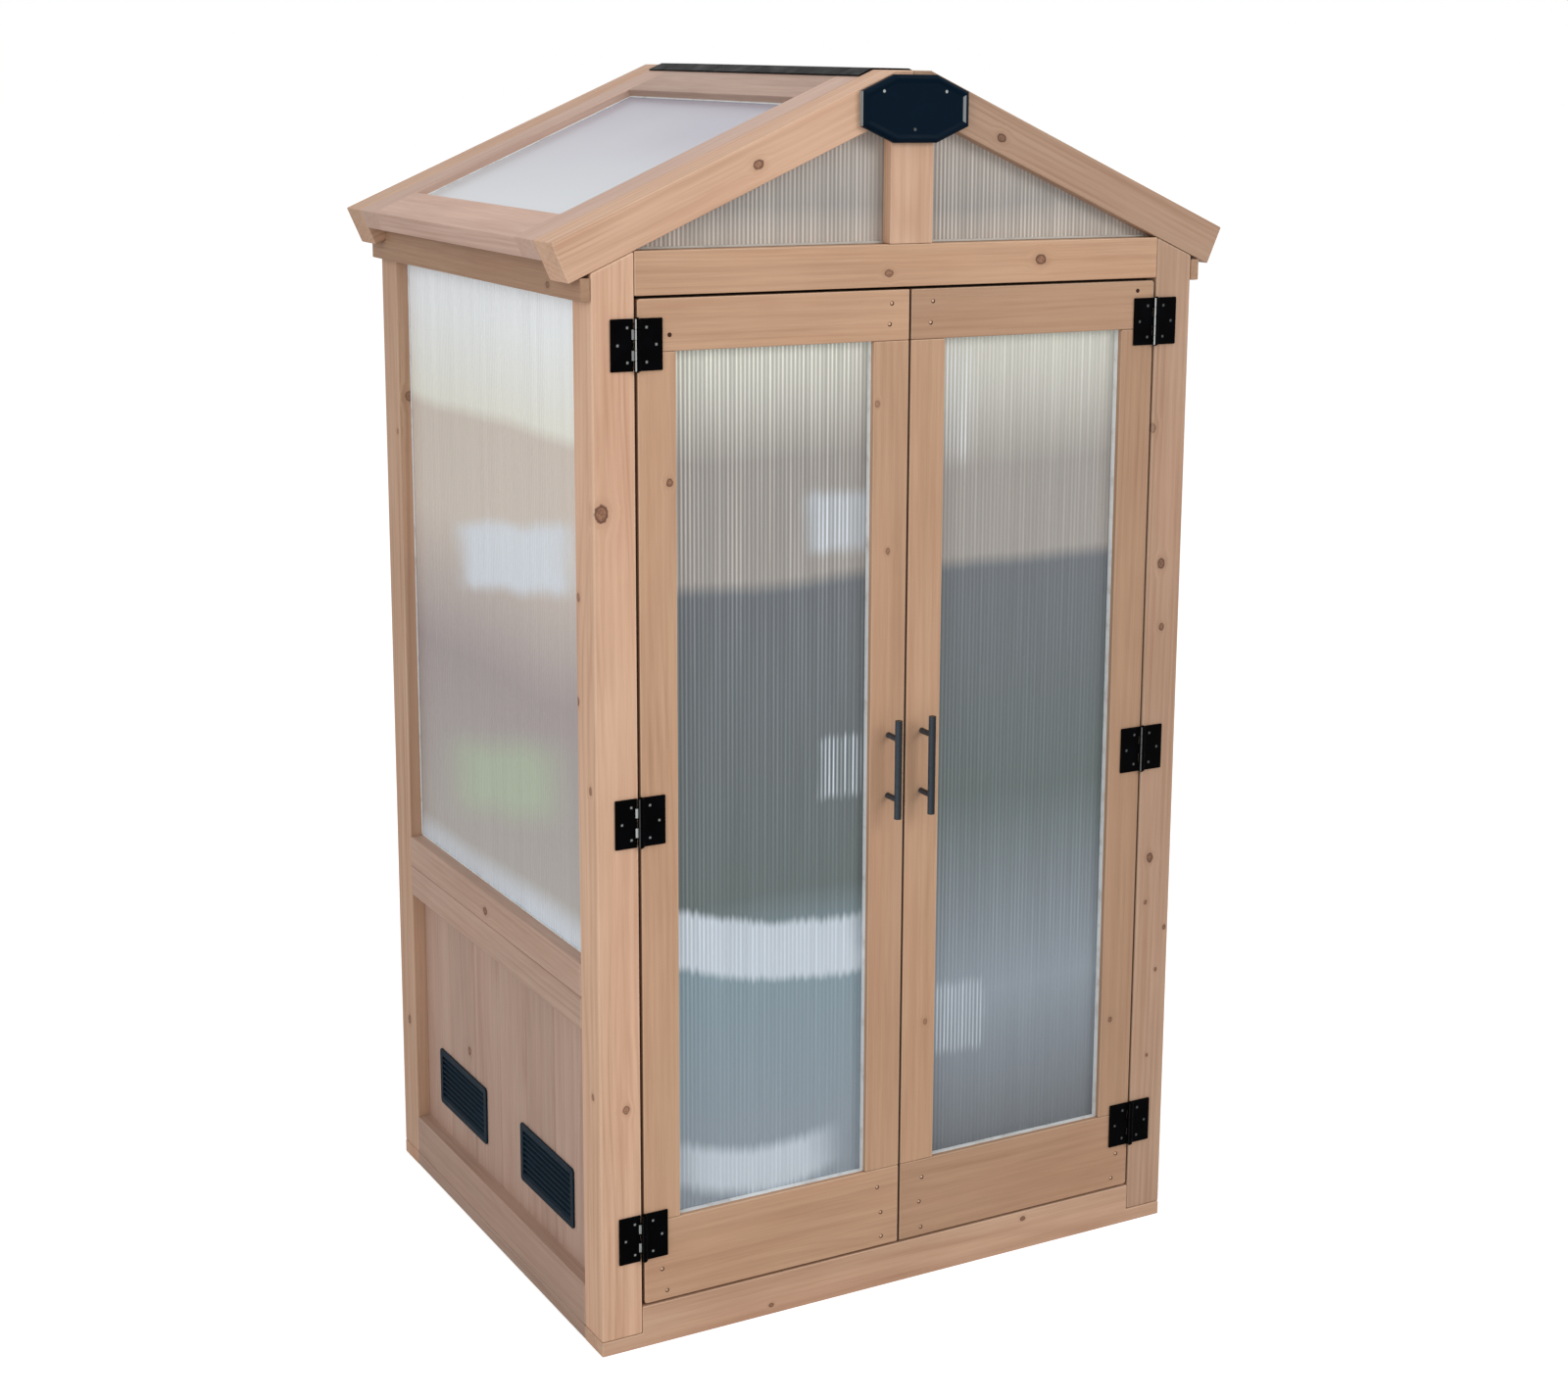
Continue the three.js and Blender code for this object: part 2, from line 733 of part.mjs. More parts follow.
// The assembly
function addCarcass(group) {
  addPiece(group, "front_sill", frontSill(), "timber");
  addPiece(group, "back_sill", backSill(), "timber");
  addPiece(group, "door_lintel", lintel(), "timber");
  addPiece(group, "king_post", kingPost(), "timber");
  addPiece(group, "back_boards", backBoards(), "board");
  for (const { name, sign } of sides) {
    addPiece(group, `front_${name}_post`, post(sign, [0, postSize]), "timber");
    addPiece(group, `back_${name}_post`, post(sign, [backPostFront, bodyDepth]), "timber");
    addPiece(group, `${name}_base_strip`, baseStrip(sign), "timber");
    addSideWall(group, name, sign);
  }
}

function addSideWall(group, name, sign) {
  const boardGroove = sideBoardField(sign, seatGap);
  const paneGroove = sidePane(sign, seatGap);
  const bottomRange = [baseHeight + seatGap, bottomRailTop];
  const lowerRange = [midRailBottom, midRailSeam - seatGap * half];
  const upperRange = [midRailSeam + seatGap * half, midRailTop];
  addPiece(group, `${name}_bottom_rail`, sideRail(sign, bottomRange, [boardGroove]), "timber");
  addPiece(group, `${name}_lower_mid_rail`, sideRail(sign, lowerRange, [boardGroove]), "timber");
  addPiece(group, `${name}_upper_mid_rail`, sideRail(sign, upperRange, [paneGroove]), "timber");
  addPiece(group, `${name}_eave_beam`, eaveBeam(sign), "timber");
  addPiece(group, `${name}_side_pane`, sidePane(sign, 0), "glazing");
  const vents = sign < 0 ? { front: frontVentCentre, back: backVentCentre } : {};
  addPiece(group, `${name}_boards`, sideBoards(sign, Object.values(vents)), "board");
  for (const [place, centre] of Object.entries(vents)) {
    addPiece(group, `${name}_${place}_vent`, vent(sign, centre), "plastic");
  }
}

function addRoof(group) {
  addPiece(group, "gable_pane", gablePane(0), "glazing");
  addPiece(group, "gable_plate", gablePlate(), "plate");
  addPiece(group, "ridge_cap", ridgeCap(), "strip");
  for (const { name, sign } of sides) {
    addPiece(group, `front_${name}_rake`, rake(sign, frontRakeRange), "timber");
    addPiece(group, `back_${name}_rake`, rake(sign, backRakeRange), "timber");
    addPiece(group, `${name}_roof_frame`, roofFrame(sign), "timber");
    addPiece(group, `${name}_roof_pane`, roofPane(sign, 0), "glazing");
  }
}

function addDoor(group, name, sign) {
  const [low, high] = doorOpeningUpright;
  addPiece(group, `${name}_hinge_stile`, doorStile(sign, [doorOpening[1], doorEdge]), "timber");
  addPiece(group, `${name}_meeting_stile`, doorStile(sign, [meetingEdge, doorOpening[0]]), "timber");
  addPiece(group, `${name}_door_top_rail`, doorRail(sign, high, doorTop), "timber");
  addPiece(group, `${name}_door_bottom_rail`, doorRail(sign, low, doorBottom), "timber");
  addPiece(group, `${name}_door_pane`, doorPane(sign, 0), "glazing");
  addPiece(group, `${name}_door_handle`, handle(sign), "steel");
  for (const [place, foot] of Object.entries(hingeFeet)) {
    addPiece(group, `${name}_${place}_post_leaf`, postLeaf(sign, foot), "steel");
    addPiece(group, `${name}_${place}_door_leaf`, doorLeaf(sign, foot), "steel");
  }
}

const carcass = new THREE.Group();
carcass.position.y = frontPlaneY;
addCarcass(carcass);
addRoof(carcass);
for (const { name, sign } of sides) addDoor(carcass, name, sign);

const greenhouse = new THREE.Group();
greenhouse.add(carcass);

export default greenhouse;
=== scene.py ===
"""Dressed model of a wooden mini greenhouse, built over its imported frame.

Lengths are metres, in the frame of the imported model: X to the right, Y to the back, Z up.
"""

import logging
import math
from contextlib import contextmanager
from dataclasses import dataclass, field
from enum import Enum
from typing import Any, Callable, Iterator, Sequence

import bmesh
import bpy
from bpy.types import Material, NodeSocket, NodeTree, Object, ShaderNode
from mathutils import Matrix, Vector


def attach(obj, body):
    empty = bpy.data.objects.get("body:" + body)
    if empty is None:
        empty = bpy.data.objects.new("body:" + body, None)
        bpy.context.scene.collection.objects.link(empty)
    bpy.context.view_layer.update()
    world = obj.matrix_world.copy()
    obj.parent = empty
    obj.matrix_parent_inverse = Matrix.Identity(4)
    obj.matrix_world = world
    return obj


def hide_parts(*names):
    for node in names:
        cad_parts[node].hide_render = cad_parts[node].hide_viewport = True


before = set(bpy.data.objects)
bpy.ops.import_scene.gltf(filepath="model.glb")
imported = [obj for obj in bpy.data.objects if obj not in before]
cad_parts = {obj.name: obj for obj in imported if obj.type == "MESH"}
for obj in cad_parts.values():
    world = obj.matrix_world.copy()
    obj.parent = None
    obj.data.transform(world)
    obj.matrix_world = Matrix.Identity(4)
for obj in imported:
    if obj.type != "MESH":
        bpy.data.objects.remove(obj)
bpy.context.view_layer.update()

LOG = logging.getLogger("greenhouse")
Colour = tuple[float, float, float]
Range = tuple[float, float]
ALONG_X = Vector((1, 0, 0))
ALONG_Y = Vector((0, 1, 0))
ALONG_Z = Vector((0, 0, 1))
SQUARELY = 0.9  # least part of a normal along the way that a face looks
TOUCH = 0.0001  # places closer than this are the same
RIB_PITCH = 0.006
SHEET = 0.006  # thickness of a translucent sheet
SEAT = 0.008  # how far a sheet or board reaches into its groove


class Side(Enum):
    """The two halves of the greenhouse, with the sign of their X."""

    LEFT = -1
    RIGHT = 1

    @property
    def label(self) -> str:
        """Word used in the names of this side's pieces."""
        return self.name.lower()

    def span(self, near: float, far: float) -> Range:
        """Turns two distances from the middle into a range of X on this side."""
        return tuple(sorted((self.value * near, self.value * far)))


class Slot(Enum):
    """Material slots of the record."""

    TIMBER = "timber"
    BOARDING = "boarding"
    GLAZING = "glazing"
    STEEL = "black_steel"
    VENT = "vent_plastic"
    STRIP = "ridge_strip"
    PLATE = "gable_plate"


# Laying out


@dataclass(frozen=True)
class Layout:
    """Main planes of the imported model, which every sub-assembly is placed from."""

    front: float = -0.3625
    back: float = 0.3955
    half_width: float = 0.45
    doorway_half: float = 0.392
    post: float = 0.058
    wall_recess: float = 0.02
    seat_gap: float = 0.0003
    base_height: float = 0.02
    sill_height: float = 0.058
    doorway_top: float = 1.397
    lintel_top: float = 1.452
    slope: float = math.radians(23.8)
    rake_depth: float = 0.054
    eave_reach: float = 0.5
    ridge_half: float = 0.027

    @property
    def roof_peak(self) -> float:
        """Height at which the two upper roof surfaces would meet."""
        rise = self.doorway_half * math.tan(self.slope)
        return self.lintel_top + rise + (self.rake_depth + self.seat_gap) / math.cos(self.slope)

    @property
    def ridge_top(self) -> float:
        """Height of the flat along the ridge."""
        return self.roof_peak - self.ridge_half * math.tan(self.slope)

    @property
    def roof_end(self) -> float:
        """Distance down the slope at which the roof ends."""
        return self.eave_reach / math.cos(self.slope)

    @property
    def post_rows(self) -> dict[str, Range]:
        """Ranges of Y that the front and the back posts fill."""
        return {"front": (self.front, self.front + self.post), "back": (self.back - self.post, self.back)}

    @property
    def between_posts(self) -> Range:
        """Range of Y between the front and the back posts."""
        return (self.front + self.post, self.back - self.post)

    @property
    def between_rakes(self) -> Range:
        """Range of Y between the front and the back rakes, with a gap at both."""
        return within(self.between_posts, self.seat_gap)

    @property
    def doorway_edge(self) -> float:
        """Distance from the middle to the ends of what stands between the posts."""
        return self.doorway_half - self.seat_gap

    @property
    def wall_face(self) -> float:
        """Distance from the middle to the recessed face of a side wall."""
        return self.half_width - self.wall_recess

    def seat_line(self, x: float) -> float:
        """Height of the line that the rakes sit on, at a distance x from the middle."""
        return self.lintel_top + (self.doorway_half - abs(x)) * math.tan(self.slope)

    def down_slope(self, side: Side) -> Vector:
        """Direction down one slope of the roof."""
        return Vector((side.value * math.cos(self.slope), 0, -math.sin(self.slope)))

    def off_slope(self, side: Side) -> Vector:
        """Direction straight out of one slope of the roof."""
        return Vector((side.value * math.sin(self.slope), 0, math.cos(self.slope)))

    def slope_point(self, side: Side, down: float, off: float, y: float) -> Vector:
        """Finds a point of the roof.

        Args:
            side: Slope it belongs to.
            down: Distance down the slope from the peak.
            off: Distance off the upper surface.
            y: Place along the ridge.

        Returns:
            The point in metres.
        """
        peak = Vector((0, y, self.roof_peak))
        return peak + down * self.down_slope(side) + off * self.off_slope(side)


def within(span: Range, margin: float) -> Range:
    """Narrows a range by a margin at both ends, or widens it by a negative one."""
    return (span[0] + margin, span[1] - margin)


def border(wide: Range, tall: Range, width: float) -> list[tuple[Range, Range]]:
    """Finds the four strips round an opening: its foot, its head and its two sides."""
    return [
        (wide, (tall[0], tall[0] + width)),
        (wide, (tall[1] - width, tall[1])),
        ((wide[0], wide[0] + width), tall),
        ((wide[1] - width, wide[1]), tall),
    ]


# Bench work: what a maker does to a piece with Blender's own tools

PICKED: dict[str, tuple[str, Callable[[Any], tuple[Vector, ...]]]] = {
    "VERT": ("verts", lambda point: (point.co,)),
    "EDGE": ("edges", lambda edge: (edge.verts[0].co, edge.verts[1].co)),
    "FACE": ("faces", lambda face: (face.calc_center_median(), face.normal)),
}


def deselect() -> None:
    """Deselects every object."""
    bpy.ops.object.select_all(action="DESELECT")


def focus(piece: Object) -> None:
    """Makes a piece the only one selected and the active one."""
    deselect()
    piece.select_set(True)
    bpy.context.view_layer.objects.active = piece


def rename(piece: Object, name: str) -> Object:
    """Names a piece and its mesh."""
    piece.name = name
    piece.data.name = name
    return piece


def settle(name: str) -> Object:
    """Names the new active object and moves its place into its mesh."""
    bpy.ops.object.transform_apply(location=True, rotation=True, scale=True)
    return rename(bpy.context.object, name)


@contextmanager
def editing(piece: Object) -> Iterator[None]:
    """Opens a piece in edit mode, all selected, and closes it again."""
    focus(piece)
    bpy.ops.object.mode_set(mode="EDIT")
    bpy.ops.mesh.select_mode(type="FACE")
    bpy.ops.mesh.select_all(action="SELECT")
    try:
        yield
    finally:
        bpy.ops.object.mode_set(mode="OBJECT")


@contextmanager
def picking(piece: Object, kind: str, test: Callable[..., bool]) -> Iterator[None]:
    """Opens a piece with only the points, edges or faces selected that pass a test.

    Args:
        piece: Piece to open.
        kind: VERT, EDGE or FACE.
        test: Given a point's place, the places of an edge's ends, or a face's centre and normal.
    """
    elements, facts = PICKED[kind]
    with editing(piece):
        bpy.ops.mesh.select_mode(type=kind)
        bpy.ops.mesh.select_all(action="DESELECT")
        mesh = bmesh.from_edit_mesh(piece.data)
        for element in getattr(mesh, elements):
            if test(*facts(element)):
                element.select_set(True)
        bmesh.update_edit_mesh(piece.data)
        yield


def block(name: str, x: Range, y: Range, z: Range) -> Object:
    """Adds a squared block between two planes on each axis."""
    deselect()
    middle = [(low + high) / 2 for low, high in (x, y, z)]
    size = [abs(high - low) for low, high in (x, y, z)]
    bpy.ops.mesh.primitive_cube_add(size=1, location=middle, scale=size)
    return settle(name)


def slope_block(name: str, layout: Layout, side: Side, down: Range, y: Range, off: Range) -> Object:
    """Adds a squared block that lies along one slope of the roof."""
    deselect()
    centre = layout.slope_point(side, sum(down) / 2, sum(off) / 2, sum(y) / 2)
    size = (down[1] - down[0], y[1] - y[0], abs(off[1] - off[0]))
    turn = (0, side.value * layout.slope, 0)
    bpy.ops.mesh.primitive_cube_add(size=1, location=centre, scale=size, rotation=turn)
    return settle(name)


def disc(name: str, centre: Vector, radius: float, depth: float, axis: Vector, sides: int = 24) -> Object:
    """Adds a round bar or disc about a centre, along an axis."""
    deselect()
    turn = axis.to_track_quat("Z", "Y").to_euler()
    bpy.ops.mesh.primitive_cylinder_add(
        vertices=sides, radius=radius, depth=depth, location=centre, rotation=turn
    )
    return settle(name)


def saw(piece: Object, point: Vector, outward: Vector) -> None:
    """Saws off what lies beyond a plane and closes the cut."""
    with editing(piece):
        bpy.ops.mesh.bisect(plane_co=point, plane_no=outward, use_fill=True, clear_outer=True)


def score(piece: Object, axis: Vector, *places: float) -> None:
    """Cuts lines of edges round a piece, square to an axis, without taking anything off."""
    for place in places:
        with editing(piece):
            bpy.ops.mesh.bisect(plane_co=axis * place, plane_no=axis)


def draw_out(piece: Object, test: Callable[[Vector, Vector], bool], way: Vector) -> None:
    """Extrudes the faces that pass a test."""
    with picking(piece, "FACE", test):
        bpy.ops.mesh.extrude_region_move(TRANSFORM_OT_translate={"value": way})


def inset(piece: Object, test: Callable[[Vector, Vector], bool], width: float, depth: float = 0.0) -> None:
    """Insets the faces that pass a test, and raises or sinks them."""
    with picking(piece, "FACE", test):
        bpy.ops.mesh.inset(thickness=width, depth=depth)


def push(piece: Object, test: Callable[[Vector], bool], way: Vector) -> None:
    """Moves the points that pass a test."""
    with picking(piece, "VERT", test):
        bpy.ops.transform.translate(value=way)


def round_corners(
    piece: Object, test: Callable[[Vector, Vector], bool], radius: float, segments: int = 5
) -> None:
    """Rounds the edges that pass a test."""
    with picking(piece, "EDGE", test):
        bpy.ops.mesh.bevel(offset=radius, segments=segments, affect="EDGES")


def add_modifier(piece: Object, kind: str, **settings: Any) -> None:
    """Adds a modifier to a piece and applies it."""
    focus(piece)
    bpy.ops.object.modifier_add(type=kind)
    modifier = piece.modifiers[-1]
    for setting, value in settings.items():
        setattr(modifier, setting, value)
    bpy.ops.object.modifier_apply(modifier=modifier.name)


def ease(piece: Object, width: float = 0.0013, segments: int = 2, turn: float = 30) -> Object:
    """Takes the sharpness off a piece's edges and smooths it over them.

    Args:
        piece: Piece to ease.
        width: Width of the eased edge.
        segments: Facets across it.
        turn: Least angle in degrees between faces for their edge to be eased.

    Returns:
        The same piece.
    """
    limit = math.radians(turn)
    add_modifier(piece, "BEVEL", width=width, segments=segments, limit_method="ANGLE", angle_limit=limit)
    return smooth(piece)


def smooth(piece: Object, turn: float = 50) -> Object:
    """Shades a piece smooth over shallow edges, with its flat faces kept flat."""
    focus(piece)
    bpy.ops.object.shade_smooth_by_angle(angle=math.radians(turn))
    add_modifier(piece, "WEIGHTED_NORMAL", keep_sharp=True)
    return piece


def combine(name: str, pieces: Sequence[Object]) -> Object:
    """Joins several pieces into one mesh."""
    focus(pieces[0])
    for piece in pieces[1:]:
        piece.select_set(True)
    if len(pieces) > 1:
        bpy.ops.object.join()
    return rename(bpy.context.object, name)


def carve(piece: Object, tool: Object, operation: str = "DIFFERENCE") -> None:
    """Cuts a tool's shape out of a piece, or welds it on, and removes the tool."""
    add_modifier(piece, "BOOLEAN", operation=operation, solver="EXACT", object=tool)
    bpy.data.objects.remove(tool)


def copy_of(piece: Object, name: str, way: Vector) -> Object:
    """Copies a piece with its own mesh and moves the copy."""
    focus(piece)
    bpy.ops.object.duplicate(linked=False)
    bpy.context.object.location = way
    return settle(name)


def mark(piece: Object, name: str, kind: str, domain: str, values: Sequence[float]) -> None:
    """Stores a number or a vector for each point or face of a piece."""
    attribute = piece.data.attributes.new(name, kind, domain)
    attribute.data.foreach_set("vector" if kind == "FLOAT_VECTOR" else "value", values)


def lay_grain(piece: Object, along: Vector, across: Vector, seed: float, tone: float = 1.0) -> Object:
    """Marks a board with its own directions, so that its figure follows it.

    Args:
        piece: Board to mark.
        along: Direction of the grain.
        across: Direction across the board's face.
        seed: Number that gives the board its own figure.
        tone: Share of the finish's brightness that this board has; on some boards it is lowered as painted
            shade.

    Returns:
        The same board.
    """
    ways = (along, across, along.cross(across))
    points = piece.data.vertices
    mark(piece, "grain", "FLOAT_VECTOR", "POINT", [point.co.dot(way) for point in points for way in ways])
    mark(piece, "seed", "FLOAT", "POINT", [seed] * len(points))
    mark(piece, "tone", "FLOAT", "POINT", [tone] * len(points))
    return piece


def wear(piece: Object, share: Callable[[Vector, Vector], float]) -> Object:
    """Marks how much of the finish's paler tone, a painted highlight, each face has, by its centre and normal.
    """
    faces = piece.data.polygons
    mark(piece, "worn", "FLOAT", "FACE", [share(face.center, face.normal) for face in faces])
    return piece


def shade(piece: Object, share: float, test: Callable[[Vector], bool]) -> None:
    """Paints shade onto a board where it stands in a narrow joint, at the points that pass a test."""
    for vertex, tone in zip(piece.data.vertices, piece.data.attributes["tone"].data):
        tone.value *= share if test(vertex.co) else 1.0


def fit(
    piece: Object, material: Material, slot: Slot, body: str = "cabinet", stands_for: Sequence[str] = ()
) -> Object:
    """Hands a finished piece over to the frame.

    Args:
        piece: Finished piece.
        material: Its finish.
        slot: Slot of the record that the finish belongs to; not used.
        body: Body of the frame that it rides on.
        stands_for: Nodes of the frame that it replaces.

    Returns:
        The same piece.
    """
    piece.data.materials.clear()
    piece.data.materials.append(material)
    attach(piece, body)
    if stands_for:
        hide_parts(*stands_for)
    LOG.info("%s on %s: %d faces", piece.name, body, len(piece.data.polygons))
    return piece


# Shader work


@dataclass(frozen=True)
class Wire:
    """What a shader node puts out, which takes part in plain arithmetic."""

    graph: "Graph"
    socket: NodeSocket

    def __add__(self, other: Any) -> "Wire":
        """Adds a value."""
        return self.graph.math("ADD", self, other)

    def __sub__(self, other: Any) -> "Wire":
        """Subtracts a value."""
        return self.graph.math("SUBTRACT", self, other)

    def __rsub__(self, other: float) -> "Wire":
        """Subtracts this from a number."""
        return self.graph.math("SUBTRACT", other, self)

    def __mul__(self, other: Any) -> "Wire":
        """Multiplies by a value."""
        return self.graph.math("MULTIPLY", self, other)

    def __truediv__(self, other: Any) -> "Wire":
        """Divides by a value."""
        return self.graph.math("DIVIDE", self, other)

    def __pow__(self, power: float) -> "Wire":
        """Raises to a power."""
        return self.graph.math("POWER", self, power)

    def over(self, source: tuple, target: tuple, soft: bool = False) -> "Wire":
        """Maps from one range to another, clamped to it, with soft ends if asked."""
        node = self.graph.node(
            "ShaderNodeMapRange", interpolation_type="SMOOTHSTEP" if soft else "LINEAR"
        )
        return self.graph.wired(node, (self, *source, *target))


class Graph:
    """Adds shader nodes to a tree and joins them."""

    def __init__(self, tree: NodeTree) -> None:
        """Starts on an empty tree."""
        self.tree = tree
        tree.nodes.clear()

    def node(self, kind: str, **settings: Any) -> ShaderNode:
        """Adds a node and sets its properties."""
        node = self.tree.nodes.new(kind)
        for setting, value in settings.items():
            setattr(node, setting, value)
        return node

    def feed(self, socket: NodeSocket, value: Any) -> None:
        """Joins a socket to a wire, or sets its own value."""
        if isinstance(value, Wire):
            self.tree.links.new(value.socket, socket)
        elif isinstance(value, tuple) and len(value) == 3 and socket.type == "RGBA":
            socket.default_value = (*value, 1.0)
        else:
            socket.default_value = value

    def feed_all(self, node: ShaderNode, values: dict[str, Any]) -> None:
        """Feeds inputs of a node by their names."""
        for name, value in values.items():
            self.feed(node.inputs[name], value)

    def out(self, node: ShaderNode, name: str | int = 0) -> Wire:
        """Takes a wire from a node."""
        return Wire(self, node.outputs[name])

    def wired(self, node: ShaderNode, values: Sequence[Any], name: str | int = 0) -> Wire:
        """Feeds a node's first inputs in their order, and takes a wire from it."""
        for socket, value in zip(node.inputs, values):
            self.feed(socket, value)
        return self.out(node, name)

    def math(self, operation: str, *values: Any, clamp: bool = False) -> Wire:
        """Adds a Math node over its values."""
        return self.wired(self.node("ShaderNodeMath", operation=operation, use_clamp=clamp), values)

    def vector(self, operation: str, *values: Any) -> Wire:
        """Adds a Vector Math node, and takes its number for a length."""
        node = self.node("ShaderNodeVectorMath", operation=operation)
        return self.wired(node, values, "Value" if operation == "LENGTH" else "Vector")

    def scaled(self, vector: Wire, by: Any) -> Wire:
        """Scales a vector or a colour by one number."""
        node = self.node("ShaderNodeVectorMath", operation="SCALE")
        self.feed_all(node, {"Vector": vector, "Scale": by})
        return self.out(node, "Vector")

    def split(self, vector: Wire) -> list[Wire]:
        """Splits a vector into its three values."""
        node = self.node("ShaderNodeSeparateXYZ")
        self.feed(node.inputs[0], vector)
        return [self.out(node, index) for index in range(3)]

    def join(self, x: Any, y: Any, z: Any) -> Wire:
        """Makes a vector of three values."""
        return self.wired(self.node("ShaderNodeCombineXYZ"), (x, y, z))

    def noise(self, vector: Wire, scale: Any = 1.0, detail: float = 2.0) -> Wire:
        """Adds a Noise texture and takes its value."""
        node = self.node("ShaderNodeTexNoise")
        self.feed_all(node, {"Vector": vector, "Scale": scale, "Detail": detail})
        return self.out(node, "Fac")

    def mix(self, share: Any, first: Any, second: Any, blend: str = "MIX") -> Wire:
        """Mixes two colours."""
        node = self.node("ShaderNodeMix", data_type="RGBA", blend_type=blend)
        for index, value in ((0, share), (6, first), (7, second)):
            self.feed(node.inputs[index], value)
        return self.out(node, 2)

    def ramp(self, value: Wire, stops: Sequence[tuple[float, Colour]]) -> Wire:
        """Adds a colour ramp with its own stops."""
        node = self.node("ShaderNodeValToRGB")
        elements = node.color_ramp.elements
        while len(elements) < len(stops):
            elements.new(0.5)
        for element, (place, colour) in zip(elements, stops):
            element.position = place
            element.color = (*colour, 1.0)
        return self.wired(node, (value,))

    def attribute(self, name: str, output: str = "Fac") -> Wire:
        """Reads an attribute of the mesh."""
        return self.out(self.node("ShaderNodeAttribute", attribute_name=name), output)

    def place(self) -> Wire:
        """Reads the object's own coordinates."""
        return self.out(self.node("ShaderNodeTexCoord"), "Object")

    def group(self, tree: NodeTree, **inputs: Any) -> dict[str, Wire]:
        """Places a node group, feeds its inputs and takes its outputs by their names."""
        node = self.node("ShaderNodeGroup", node_tree=tree)
        self.feed_all(node, inputs)
        return {socket.name: Wire(self, socket) for socket in node.outputs}


class EffectGroup(Graph):
    """A shader node group with named inputs and outputs."""

    def __init__(self, name: str, inputs: dict[str, str], outputs: dict[str, str]) -> None:
        """Makes the group's sockets.

        Args:
            name: Name of the group.
            inputs: Names of the inputs of each kind.
            outputs: Names of the outputs of each kind.
        """
        super().__init__(bpy.data.node_groups.new(name, "ShaderNodeTree"))
        for way, kinds in (("INPUT", inputs), ("OUTPUT", outputs)):
            for kind, names in kinds.items():
                for socket in names.split():
                    self.tree.interface.new_socket(name=socket, in_out=way, socket_type=f"NodeSocket{kind}")
        self.given = {socket.name: Wire(self, socket) for socket in self.node("NodeGroupInput").outputs}
        self.result = self.node("NodeGroupOutput")

    def take(self, names: str) -> list[Wire]:
        """Takes some of the group's inputs by their names."""
        return [self.given[name] for name in names.split()]

    def put_out(self, **values: Wire) -> NodeTree:
        """Feeds the group's outputs and returns the finished tree."""
        self.feed_all(self.result, values)
        return self.tree


def softwood_group() -> NodeTree:
    """Planed softwood: growth rings cut along the board, streaks and fibre."""
    g = EffectGroup(
        "softwood figure",
        {"Vector": "Grain", "Float": "Seed Figure", "Color": "Pale Deep"},
        {"Color": "Color", "Float": "Roughness Height"},
    )
    grain, seed, pale, deep = g.take("Grain Seed Pale Deep")
    place = g.vector("ADD", grain, g.join(seed * 3.7, seed * 1.9, seed * 2.3))

    def figure(stretch: tuple[float, float, float], detail: int) -> Wire:
        """Noise drawn out along the board."""
        return g.noise(g.vector("MULTIPLY", place, stretch), detail=detail)

    wander = figure((1.3, 7, 7), 1) - 0.5
    along, across, depth = g.split(grain)
    pith = g.math("SINE", seed * 11.3) * 0.035
    radius = g.vector(
        "LENGTH", g.join(0.0, across + pith + wander * 0.03, depth + 0.06 + (along * 0.018 + wander * 0.05))
    )
    uneven = g.noise(g.join(radius * 75, seed, 0.0), detail=1)
    radius = (uneven - 0.5) * 0.024 + radius
    ring_width = 0.009
    ring = (g.math("SINE", radius * (2 * math.pi / ring_width)) * 0.5 + 0.5) ** 2.2
    rings = ring * figure((2.5, 22, 22), 1).over((0.35, 0.65), (0.08, 0.9))
    fibre = figure((16, 620, 620), 2)
    streak = figure((2.6, 150, 150), 3).over((0.3, 0.7), (-0.10, 0.32))
    blotch = figure((4, 11, 11), 2).over((0.3, 0.7), (-0.10, 0.24))
    darker = rings * (g.given["Figure"] * 0.55) + streak + fibre.over((0.25, 0.75), (-0.12, 0.18))
    colour = g.mix(g.math("ADD", darker, blotch, clamp=True), pale, deep)
    warm = figure((3, 16, 16), 1).over((0.4, 0.7), (0.0, 0.35))
    colour = g.mix(warm, colour, g.mix(1.0, colour, (1.04, 0.93, 0.90), "MULTIPLY"))
    rough = fibre.over((0.25, 0.75), (0.50, 0.66))
    return g.put_out(Color=colour, Roughness=rough, Height=fibre * 0.7 - rings * 0.3)


